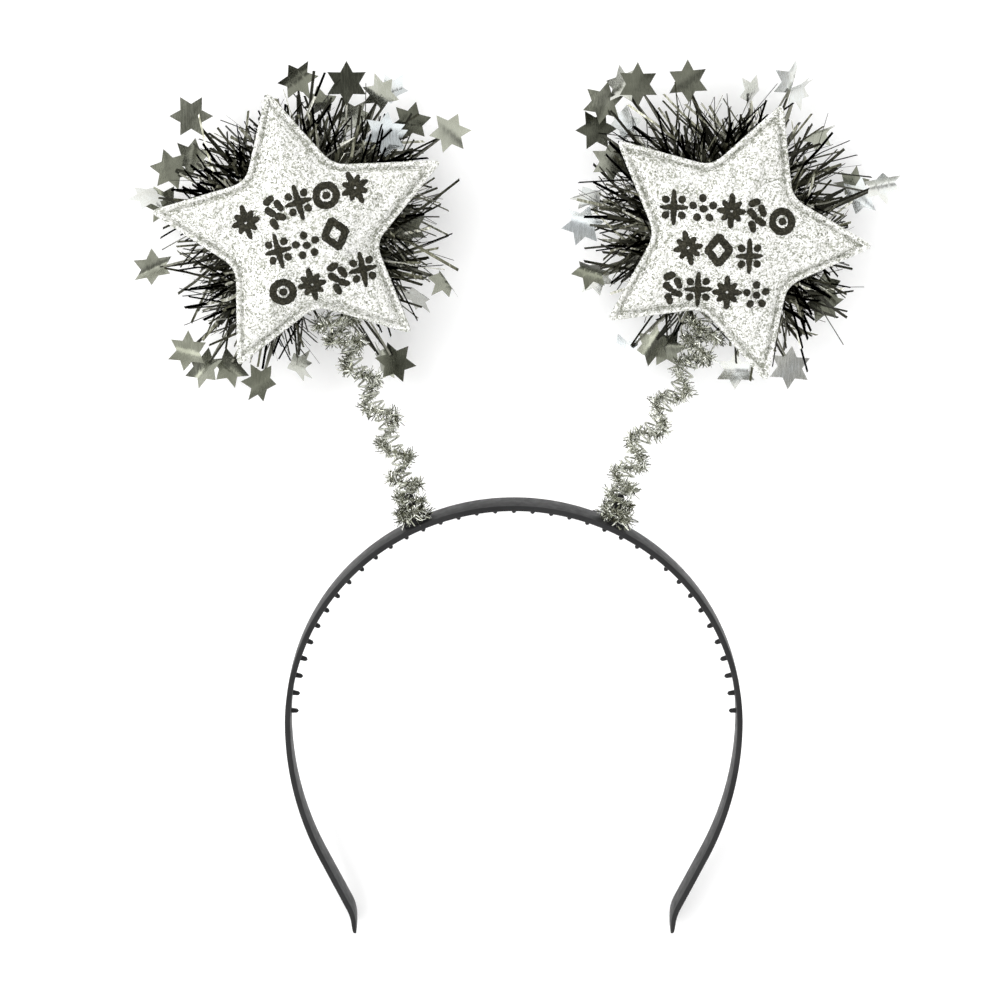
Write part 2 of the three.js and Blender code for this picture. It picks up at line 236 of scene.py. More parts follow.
def ramp(tree, value, stops, ease="LINEAR"):
    node = put(tree, "ShaderNodeValToRGB", {"Fac": value})
    node.color_ramp.interpolation = ease
    while len(node.color_ramp.elements) < len(stops):
        node.color_ramp.elements.new(0.5)
    for element, (position, color) in zip(node.color_ramp.elements, stops):
        element.position = position
        element.color = (*color, 1) if len(color) == 3 else color
    return node.outputs["Color"]


def span(tree, value, low, high, newLow, newHigh):
    inputs = {"Value": value, 1: low, 2: high, 3: newLow, 4: newHigh}
    return put(tree, "ShaderNodeMapRange", inputs).outputs["Result"]


def bump(tree, shader, height, strength, distance):
    node = put(tree, "ShaderNodeBump", {"Height": height, "Strength": strength, "Distance": distance})
    tree.links.new(node.outputs["Normal"], shader.inputs["Normal"])
    return node


finish = {
    "plasticDark": (0.018, 0.018, 0.0185),
    "plasticWorn": (0.027, 0.027, 0.0275),
    "socketBlack": (0.012, 0.012, 0.012),
    "steel": [(0.0, (0.42, 0.43, 0.37)), (0.2, (0.58, 0.59, 0.52))],
    "silverFilm": [
        (0.0, (0.06, 0.06, 0.04)), (0.3, (0.22, 0.225, 0.17)), (0.6, (0.52, 0.53, 0.45)), (0.9, (0.80, 0.81, 0.76)),
    ],
    # Black film: the top stops, pale olive to near white, are painted highlights on some strands; the low stops are the
    # film's own black
    "blackFilm": [
        (0.0, (0.009, 0.009, 0.003)), (0.50, (0.015, 0.015, 0.006)), (0.68, (0.045, 0.044, 0.025)),
        (0.84, (0.16, 0.16, 0.11)), (0.94, (0.44, 0.44, 0.36)), (1.0, (0.78, 0.78, 0.71)),
    ],
    "stemFilm": [(0.0, (0.16, 0.16, 0.13)), (0.4, (0.42, 0.43, 0.37))],
    "glitterWhite": (0.90, 0.90, 0.88),
    "glitterOlive": (0.25, 0.26, 0.21),
    "markDark": (0.020, 0.019, 0.010),
    "flakeSize": 0.00045,
}


def plasticMaterial(name, low, high, roughLow, roughHigh):
    material, tree, shader, place = newMaterial(name, low, roughLow)
    cloudy = noiseOf(tree, place, 90, 4)
    tree.links.new(ramp(tree, cloudy, [(0.35, low), (0.65, high)]), shader.inputs["Base Color"])
    tree.links.new(span(tree, noiseOf(tree, place, 420, 3), 0.3, 0.7, roughLow, roughHigh), shader.inputs["Roughness"])
    grain = calc(tree, "ADD", noiseOf(tree, place, 5200, 2), calc(tree, "MULTIPLY", noiseOf(tree, place, 260, 2), 2.0))
    bump(tree, shader, grain, 0.16, 0.00006)
    shader.inputs["Specular IOR Level"].default_value = 0.13
    return material


# Film: each strand has its own tone, from the first stop to the last, with faint streaks. On the black film the pale
# top stops are painted highlights
def filmMaterial(name, stops, roughness, metallic, streakScale, depth):
    material, tree, shader, place = newMaterial(name, stops[0][1], roughness, metallic)
    stretch = put(tree, "ShaderNodeMapping", {"Vector": place, "Rotation": (0.3, 0.2, 0.6), "Scale": (1, 0.16, 1)})
    streaks = noiseOf(tree, stretch.outputs[0], streakScale, 3, 0.6)
    tone = put(tree, "ShaderNodeAttribute", attribute_name="tone").outputs["Fac"]
    tone = calc(tree, "ADD", tone, span(tree, streaks, 0.3, 0.7, -0.12, 0.12))
    tree.links.new(ramp(tree, tone, stops), shader.inputs["Base Color"])
    rough = span(tree, streaks, 0.3, 0.7, roughness * 0.75, roughness * 1.3)
    tree.links.new(rough, shader.inputs["Roughness"])
    bump(tree, shader, streaks, depth, 0.0001)
    return material


# Glitter: small flat flakes, each with its own tilt and brightness, and painted shade along the seam
def glitterMaterial(name, size, stops, metallic, roughness, shine=0.5):
    material, tree, shader, place = newMaterial(name, stops[-1][1], roughness, metallic)
    shader.inputs["Specular IOR Level"].default_value = shine
    wobble = put(tree, "ShaderNodeTexNoise", {"Vector": place, "Scale": 900.0, "Detail": 2.0}).outputs["Color"]
    shifted = vectorCalc(tree, "ADD", place, scaled(tree, wobble, 0.0006))
    cells = put(tree, "ShaderNodeTexVoronoi", {"Vector": shifted, "Scale": 1 / size, "Randomness": 1.0})
    chance = put(tree, "ShaderNodeSeparateColor", {0: cells.outputs["Color"]}).outputs
    patches = noiseOf(tree, place, 420, 3, 0.6)
    pick = calc(tree, "ADD", chance[0], span(tree, patches, 0.3, 0.7, -0.16, 0.16))
    # Painted shade: flakes are darker along the groove and the outer edge, where the seam attribute is high
    seam = put(tree, "ShaderNodeAttribute", attribute_name="seam").outputs["Fac"]
    seam = calc(tree, "POWER", seam, 4.0)
    pick = calc(tree, "SUBTRACT", pick, calc(tree, "MULTIPLY", seam, 0.5))
    tree.links.new(ramp(tree, pick, stops), shader.inputs["Base Color"])
    tree.links.new(span(tree, chance[1], 0, 1, roughness * 0.5, roughness * 1.5), shader.inputs["Roughness"])
    tilt = vectorCalc(tree, "SUBTRACT", cells.outputs["Color"], (0.5, 0.5, 0.5))
    normal = put(tree, "ShaderNodeNewGeometry").outputs["Normal"]
    leaning = vectorCalc(tree, "NORMALIZE", vectorCalc(tree, "ADD", normal, scaled(tree, tilt, 0.75)))
    tree.links.new(leaning, shader.inputs["Normal"])
    return material


# Foil: the tone of each stamped star is its own attribute, from dark olive to bluish white
def foilMaterial():
    material, tree, shader, place = newMaterial("foilFilm", (0.4, 0.4, 0.34), 0.2, 0.92)
    tone = put(tree, "ShaderNodeAttribute", attribute_name="tone").outputs["Fac"]
    stretch = put(tree, "ShaderNodeMapping", {"Vector": place, "Rotation": (0.2, 0.1, 0.4), "Scale": (1, 0.1, 1)})
    streaks = noiseOf(tree, stretch.outputs[0], 2600, 3, 0.65)
    clouds = noiseOf(tree, place, 160, 2, 0.5)
    mixed = calc(tree, "ADD", tone, span(tree, streaks, 0.3, 0.7, -0.05, 0.05))
    mixed = calc(tree, "ADD", mixed, span(tree, clouds, 0.3, 0.7, -0.06, 0.06))
    stops = [
        (0.0, (0.055, 0.058, 0.042)),
        (0.3, (0.16, 0.165, 0.130)),
        (0.6, (0.37, 0.38, 0.32)),
        (0.82, (0.62, 0.625, 0.59)),
        (1.0, (0.72, 0.765, 0.78)),
    ]
    tree.links.new(ramp(tree, mixed, stops), shader.inputs["Base Color"])
    tree.links.new(span(tree, streaks, 0.3, 0.7, 0.16, 0.34), shader.inputs["Roughness"])
    height = calc(tree, "ADD", streaks, calc(tree, "MULTIPLY", clouds, 3.0))
    bump(tree, shader, height, 0.12, 0.0003)
    return material


bandPlastic = plasticMaterial("bandPlastic", finish["plasticDark"], finish["plasticWorn"], 0.40, 0.54)
socketPlastic = plasticMaterial("socketPlastic", finish["socketBlack"], (0.02, 0.02, 0.02), 0.36, 0.5)
springSteel = filmMaterial("springSteel", finish["steel"], 0.24, 1.0, 900, 0.05)
silverFilm = filmMaterial("silverFilm", finish["silverFilm"], 0.16, 1.0, 1500, 0.2)
blackFilm = filmMaterial("blackFilm", finish["blackFilm"], 0.24, 0.6, 1200, 0.2)
stemFilm = filmMaterial("stemFilm", finish["stemFilm"], 0.26, 0.85, 1200, 0.2)
glitterStops = [
    (0.0, finish["glitterOlive"]),
    (0.16, (0.34, 0.35, 0.30)),
    (0.36, (0.62, 0.62, 0.58)),
    (0.52, (0.84, 0.84, 0.81)),
    (0.75, finish["glitterWhite"]),
]
starGlitter = glitterMaterial("starGlitter", finish["flakeSize"], glitterStops, 0.35, 0.42)
markStops = [(0.0, (0.008, 0.008, 0.004)), (0.6, finish["markDark"]), (1.0, (0.050, 0.047, 0.032))]
markGlitter = glitterMaterial("markGlitter", 0.0004, markStops, 0.0, 0.7, shine=0.2)
backFelt = plasticMaterial("backFelt", (0.62, 0.62, 0.60), (0.70, 0.70, 0.68), 0.8, 0.95)
foilFilm = foilMaterial()
print("materials made")


# Camera at the photograph's angle, a pale floor and a soft tent of light with an opening above
studio = {
    "target": (-0.00394, 0.0042, 0.030),
    "cameraTilt": 8,
    "cameraDistance": 1.0,
    "lens": 120.16,
    "floorSize": 6.0,
    "floorColor": (0.93, 0.93, 0.93),
    "floorGlow": 0.14,
    "tent": 1.62,
    "opening": 0.40,
    "openingAngle": (17, 38),
    "keyPower": 4.4,
    "keyPlace": (-0.9, 0.55, 1.1),
    "keySize": 0.7,
}


def makeStudio():
    tilt = math.radians(studio["cameraTilt"])
    camera = bpy.data.cameras.new("camera")
    camera.sensor_width = 36
    camera.lens = studio["lens"]
    camera.clip_start = 0.05
    eye = newObject("camera", camera)
    back = Vector((0, math.sin(tilt), math.cos(tilt)))
    eye.location = Vector(studio["target"]) + back * studio["cameraDistance"]
    eye.rotation_euler = (-tilt, 0, 0)
    scene.camera = eye

    half = studio["floorSize"] / 2
    corners = [(-half, -half, 0), (half, -half, 0), (half, half, 0), (-half, half, 0)]
    floor = newObject("floor", newMesh("floor", corners, [(0, 1, 2, 3)]))
    paper, tree, shader, place = newMaterial("floorPaper", studio["floorColor"], 0.9)
    low = tuple(0.985 * c for c in studio["floorColor"])
    cloud = ramp(tree, noiseOf(tree, place, 14, 2), [(0.3, low), (0.7, studio["floorColor"])])
    tree.links.new(cloud, shader.inputs["Base Color"])
    shader.inputs["Emission Color"].default_value = (1, 1, 1, 1)
    shader.inputs["Emission Strength"].default_value = studio["floorGlow"]
    floor.data.materials.append(paper)

    world = bpy.data.worlds.new("tent")
    world.use_nodes = True
    scene.world = world
    tree = world.node_tree
    way = put(tree, "ShaderNodeTexCoord").outputs["Generated"]
    sides = put(tree, "ShaderNodeSeparateXYZ", {0: way}).outputs
    inner, outer = (math.cos(math.radians(a)) for a in studio["openingAngle"])
    zenith = span(tree, sides[2], outer, inner, studio["tent"], studio["opening"])
    shade = span(tree, sides[0], -1, 1, 1.12, 0.84)
    tree.nodes["Background"].inputs["Color"].default_value = (1, 1, 1, 1)
    tree.links.new(calc(tree, "MULTIPLY", zenith, shade), tree.nodes["Background"].inputs["Strength"])

    lamp = bpy.data.lights.new("key", "AREA")
    lamp.energy = studio["keyPower"]
    lamp.size = studio["keySize"]
    key = newObject("key", lamp)
    key.location = studio["keyPlace"]
    key.rotation_euler = (Vector((0, 0.04, 0)) - key.location).to_track_quat("-Z", "Y").to_euler()
    scene.view_settings.view_transform = "Standard"


makeStudio()
print("camera, floor and light made")


# Headband: one strip bent round the head, with comb teeth inside and a stud for each spring
band = {
    "halfWidth": 0.070,
    "crownHeight": 0.0707,
    "thickness": 0.0017,
    "depth": 0.010,
    "legRadius": 0.100,
    "legTurn": 26,
    "gripLength": 0.021,
    "endLength": 0.006,
    "tilt": 8.5,
    "shift": (0.000262, -0.066795),
    "edgeRound": 0.00045,
    "crowning": 0.00008,
    "crownSteps": 64,
    "elbow": 0.0028,
    "teethPerSide": 18,
    "toothSpan": 87,
    "toothLength": 0.0022,
    "toothRadius": 0.00082,
    "toothSetBack": 0.0008,
    "rootSink": 0.0009,
    "studTurn": 25.3,
    "studHeight": 0.003,
    "studBase": 0.0034,
    "studTop": 0.0027,
    "pegLength": 0.006,
    "pegRadius": 0.0014,
}


def crownPoint(turn):
    angle = math.radians(turn)
    out = Vector((band["crownHeight"] * math.sin(angle), band["halfWidth"] * math.cos(angle))).normalized()
    return Vector((band["halfWidth"] * math.sin(angle), band["crownHeight"] * math.cos(angle))), out


def legPoint(turn):
    angle = math.radians(turn)
    out = Vector((math.cos(angle), -math.sin(angle)))
    middle = Vector((band["halfWidth"] - band["legRadius"], 0))
    return middle + out * band["legRadius"], out


# Points of the outer face of the right half, with the way out and how the section narrows there
def bandStations():
    lean = math.radians(band["legTurn"])
    down = Vector((-math.sin(lean), -math.cos(lean)))
    legOut = Vector((math.cos(lean), -math.sin(lean)))
    gripStart = legPoint(band["legTurn"])[0]
    bend = gripStart + down * band["gripLength"]
    end = bend + Vector((0, -band["endLength"]))
    stations = [(*crownPoint(90 * i / band["crownSteps"]), 0, 1) for i in range(band["crownSteps"])]
    stations += [(*legPoint(band["legTurn"] * i / 22), 0, 1) for i in range(23)]
    stations += [(gripStart.lerp(bend - down * band["elbow"], i / 6), legOut, 0, 1) for i in range(1, 7)]
    before, after = bend - down * band["elbow"], bend + Vector((0, -band["elbow"]))
    for i in range(1, 9):
        t = i / 8
        point = before * (1 - t) ** 2 + bend * 2 * t * (1 - t) + after * t**2
        stations.append((point, legOut.lerp(Vector((1, 0)), t).normalized(), 0.00025 * t**2, 1 - 0.02 * t))
    tip = (end - after).length
    for i in range(1, 11):
        t = 1 - (1 - i / 10) ** 2
        point = after + (end - after) * t
        shave = 0.00025 + 0.00045 * t + 0.00035 * max(0, (t - 0.75) / 0.25) ** 2
        round_ = math.sqrt(max(0, 1 - max(0, (t * tip - (tip - 0.0022)) / 0.0022) ** 2))
        stations.append((point, Vector((1, 0)), shave, 0.70 + 0.28 * round_))
    return stations


def bandMatrix():
    tilt = math.radians(band["tilt"])
    lean = math.radians(band["legTurn"])
    endY = -band["legRadius"] * math.sin(lean) - band["gripLength"] * math.cos(lean) - band["endLength"]
    height = -endY * math.sin(tilt) + band["depth"] / 2 * math.cos(tilt)
    return Matrix.Translation((*band["shift"], height)) @ Matrix.Rotation(tilt, 4, "X")


def bandSection(point, out, shave, depthShare):
    corner = band["edgeRound"]
    half = band["depth"] / 2 * depthShare
    high, low = -shave, -band["thickness"]
    ring = [(high + band["crowning"], 0.0)]
    corners = [(high - corner, half - corner, 0), (low + corner, half - corner, 90)]
    corners += [(low + corner, corner - half, 180), (high - corner, corner - half, 270)]
    for level, side, start in corners:
        for step in range(4):
            angle = math.radians(start + step * 30)
            ring.append((level + corner * math.cos(angle), side + corner * math.sin(angle)))
    return [Vector((point.x + out.x * n, point.y + out.y * n, w)) for n, w in ring]


def combTree():
    sockets = {"Length": "Float", "Radius": "Float", "Round": "Float", "Seed": "Int", "Material": "Material"}
    tree, given = newTree("combTeeth", sockets)
    points = put(tree, "GeometryNodeMeshToPoints", {"Mesh": given["Geometry"]}).outputs[0]
    inputs = {"Vertices": 12, "Side Segments": 9, "Radius": 1.0, "Depth": 1.0}
    peg = put(tree, "GeometryNodeMeshCylinder", inputs, fill_type="TRIANGLE_FAN").outputs["Mesh"]
    parts = put(tree, "ShaderNodeSeparateXYZ", {0: put(tree, "GeometryNodeInputPosition").outputs[0]}).outputs
    along = calc(tree, "ADD", parts[2], 0.5)
    past = calc(tree, "MAXIMUM", calc(tree, "DIVIDE", calc(tree, "SUBTRACT", along, given["Round"]),
                                      calc(tree, "SUBTRACT", 1.002, given["Round"])), 0.0)
    dome = calc(tree, "SQRT", calc(tree, "SUBTRACT", 1.0, calc(tree, "MULTIPLY", past, past)))
    slim = calc(tree, "SUBTRACT", 1.08, calc(tree, "MULTIPLY", along, 0.26))
    flare = calc(tree, "POWER", calc(tree, "MAXIMUM", calc(tree, "SUBTRACT", 0.5, along), 0.0), 3.0)
    width = calc(tree, "ADD", calc(tree, "MULTIPLY", dome, slim), calc(tree, "MULTIPLY", flare, 3.0))
    width = calc(tree, "MULTIPLY", width, given["Radius"])
    place = put(tree, "ShaderNodeCombineXYZ", {
        0: calc(tree, "MULTIPLY", parts[0], width),
        1: calc(tree, "MULTIPLY", parts[1], width),
        2: calc(tree, "MULTIPLY", along, given["Length"]),
    }).outputs[0]
    peg = put(tree, "GeometryNodeSetPosition", {"Geometry": peg, "Position": place}).outputs[0]
    turn = put(tree, "FunctionNodeAlignRotationToVector", {"Vector": readAttribute(tree, "aim")}, axis="Z")
    size = put(tree, "ShaderNodeCombineXYZ", {0: 1.0, 1: 1.0, 2: randomNumber(tree, 0.96, 1.03, given["Seed"])})
    inputs = {"Points": points, "Instance": peg, "Rotation": turn.outputs[0], "Scale": size.outputs[0]}
    endTree(tree, put(tree, "GeometryNodeInstanceOnPoints", inputs).outputs[0], given["Material"])
    return tree


def springFoot(sign):
    point = crownPoint(band["studTurn"])[0]
    return bandMatrix() @ Vector((sign * point.x, point.y, 0))


def leanWay(sign, lean):
    return Vector((sign * math.sin(math.radians(lean)), math.cos(math.radians(lean)), 0))


def makeHeadband():
    half = bandStations()
    left = [(Vector((-p.x, p.y)), Vector((-o.x, o.y)), s, d) for p, o, s, d in reversed(half[1:])]
    matrix = bandMatrix()
    strip = newMesh("strip", *skin([bandSection(*station) for station in left + half]))
    strip.transform(matrix)
    outward(strip)
    strip.materials.append(bandPlastic)
    roots, aims = [], []
    for i in range(-band["teethPerSide"], band["teethPerSide"] + 1):
        point, out = crownPoint(band["toothSpan"] * i / band["teethPerSide"])
        root = point - out * (band["thickness"] - band["rootSink"])
        roots.append(matrix @ Vector((root.x, root.y, -band["toothSetBack"])))
        aims.append(matrix.to_3x3() @ Vector((-out.x, -out.y, 0)))
    seeds = newMesh("toothRoots", roots)
    addAttribute(seeds, "aim", aims)
    teeth = grow("teeth", seeds, combTree(), {
        "Length": band["toothLength"] + band["rootSink"],
        "Radius": band["toothRadius"],
        "Round": 0.74,
        "Seed": 3,
        "Material": bandPlastic,
    })
    meshes = [strip, teeth]
    for side in sides.values():
        foot = springFoot(side["sign"])
        way = leanWay(side["sign"], side["rootLean"])
        base, top, high = band["studBase"], band["studTop"], band["studHeight"]
        profile = [(-0.0009, base), (0.0001, base * 1.12), (0.0004, base * 1.02), (0.0010, base * 0.95)]
        profile += [(high - 0.0005, top), (high - 0.00015, top * 0.95), (high, top * 0.82)]
        stud = turned("stud", foot, way, profile, 32)
        peg = band["pegRadius"]
        profile = [(0, peg), (high + band["pegLength"] - 0.0006, peg), (high + band["pegLength"], peg * 0.5)]
        post = turned("post", foot, way, profile, 20)
        for mesh in (stud, post):
            mesh.materials.append(bandPlastic)
            meshes.append(mesh)
    piece = gather("combHeadband", meshes)
    finishPiece(piece, ["headband"])
    sharpen(piece, 40)


def sharpen(piece, degrees):
    mesh = piece.data
    shell = bmesh.new()
    shell.from_mesh(mesh)
    for edge in shell.edges:
        if len(edge.link_faces) == 2 and edge.calc_face_angle(0) > math.radians(degrees):
            edge.smooth = False
    shell.to_mesh(mesh)
    shell.free()


# Each side with its star. Lean in degrees from straight up, tips as (turn, share of starReach)
sides = {
    "left": {
        "sign": -1,
        "starSpread": 0.0332,
        "starRise": 0.0876,
        "rootLean": 12,
        "headLean": 20,
        "starReach": 0.0445,
        "tips": [(27, 1.045), (103.5, 0.955), (172, 1.015), (244, 0.99), (317.5, 0.99)],
    },
    "right": {
        "sign": 1,
        "starSpread": 0.034,
        "starRise": 0.0858,
        "rootLean": 14,
        "headLean": 12,
        "starReach": 0.0433,
        "tips": [(69, 0.98), (139, 1.02), (214, 1.0), (285, 1.02), (357, 0.985)],
    },
}
starBack = 0.027


def starMiddle(side):
    foot = springFoot(side["sign"])
    return Vector((foot.x + side["sign"] * side["starSpread"], foot.y + side["starRise"], starBack))


def polar(turn, reach, height=0.0):
    return Vector((reach * math.cos(math.radians(turn)), reach * math.sin(math.radians(turn)), height))


makeHeadband()
print("headband made")

# Springs: one wire coiled round an axis that runs from the stud to the block behind the star
spring = {
    "radius": 0.0024,
    "wire": 0.0003,
    "pitch": 0.0029,
    "pointsPerTurn": 24,
    "wireSides": 8,
    "endGap": 0.0006,
    "rootHandle": 0.024,
    "headHandle": 0.042,
    "socketHalf": 0.004,
    "socketDrop": 0.0039,
}


# Points of a spring's axis, evenly spaced
def springAxis(side, steps=400):
    rootWay = leanWay(side["sign"], side["rootLean"])
    headWay = leanWay(side["sign"], side["headLean"])
    start = springFoot(side["sign"]) + rootWay * (band["studHeight"] + spring["endGap"])
    head = starMiddle(side) - headWay * (spring["socketHalf"] + spring["endGap"])
    head.z -= spring["socketDrop"]
    rootEnd = start + rootWay * band["pegLength"]
    headEnd = head - headWay * band["pegLength"]
    corners = [rootEnd, rootEnd + rootWay * spring["rootHandle"], headEnd - headWay * spring["headHandle"], headEnd]
    line = [start.lerp(rootEnd, i / 10) for i in range(10)]
    for i in range(121):
        t = i / 120
        weights = ((1 - t) ** 3, 3 * t * (1 - t) ** 2, 3 * t * t * (1 - t), t**3)
        line.append(sum((w * c for w, c in zip(weights, corners)), Vector()))
    line += [headEnd.lerp(head, i / 10) for i in range(1, 11)]
    return evenly(line, steps)


def evenly(line, steps):
    points = np.array([tuple(p) for p in line])
    runs = np.concatenate([[0], np.cumsum(np.linalg.norm(np.diff(points, axis=0), axis=1))])
    wanted = np.linspace(0, runs[-1], steps + 1)
    return [Vector([float(np.interp(w, runs, points[:, k])) for k in range(3)]) for w in wanted]


def lineLength(line):
    return sum((b - a).length for a, b in zip(line, line[1:]))


def coilTree():
    sockets = {"Radius": "Float", "Wire": "Float", "Turns": "Float", "Steps": "Int", "Wire Sides": "Int"}
    tree, given = newTree("coil", {**sockets, "Material": "Material"})
    line = put(tree, "GeometryNodeMeshToCurve", {0: given["Geometry"]}).outputs[0]
    line = put(tree, "GeometryNodeResampleCurve", {"Curve": line, "Count": given["Steps"]}).outputs[0]
    share = put(tree, "GeometryNodeSplineParameter").outputs["Factor"]
    angle = calc(tree, "MULTIPLY", calc(tree, "MULTIPLY", share, given["Turns"]), 2 * math.pi)
    ahead = put(tree, "GeometryNodeInputTangent").outputs[0]
    aside = vectorCalc(tree, "NORMALIZE", vectorCalc(tree, "CROSS_PRODUCT", ahead, (0, 0, 1)))
    above = vectorCalc(tree, "CROSS_PRODUCT", aside, ahead)
    swing = vectorCalc(tree, "ADD", scaled(tree, aside, calc(tree, "COSINE", angle)),
                       scaled(tree, above, calc(tree, "SINE", angle)))
    offset = scaled(tree, swing, given["Radius"])
    line = put(tree, "GeometryNodeSetPosition", {"Geometry": line, "Offset": offset}).outputs[0]
    ring = put(tree, "GeometryNodeCurvePrimitiveCircle", {"Resolution": given["Wire Sides"], "Radius": given["Wire"]})
    inputs = {"Curve": line, "Profile Curve": ring.outputs["Curve"], "Fill Caps": True}
    endTree(tree, put(tree, "GeometryNodeCurveToMesh", inputs).outputs[0], given["Material"])
    return tree


def makeSprings():
    tree = coilTree()
    for name, side in sides.items():
        axis = springAxis(side)
        turns = round(lineLength(axis) / spring["pitch"])
        mesh = newMesh("axis", axis, edges=[(i, i + 1) for i in range(len(axis) - 1)])
        wire = grow("coil", mesh, tree, {
            "Radius": spring["radius"],
            "Wire": spring["wire"],
            "Turns": float(turns),
            "Steps": turns * spring["pointsPerTurn"],
            "Wire Sides": spring["wireSides"],
            "Material": springSteel,
        })
        finishPiece(gather(f"coilSpring_{name}", [wire]), [f"spring_{name}"])


makeSprings()
print("springs made")


# What is left of a vector across a direction
def sideways(tree, vector, way):
    return vectorCalc(tree, "SUBTRACT", vector, scaled(tree, way, vectorCalc(tree, "DOT_PRODUCT", vector, way)))


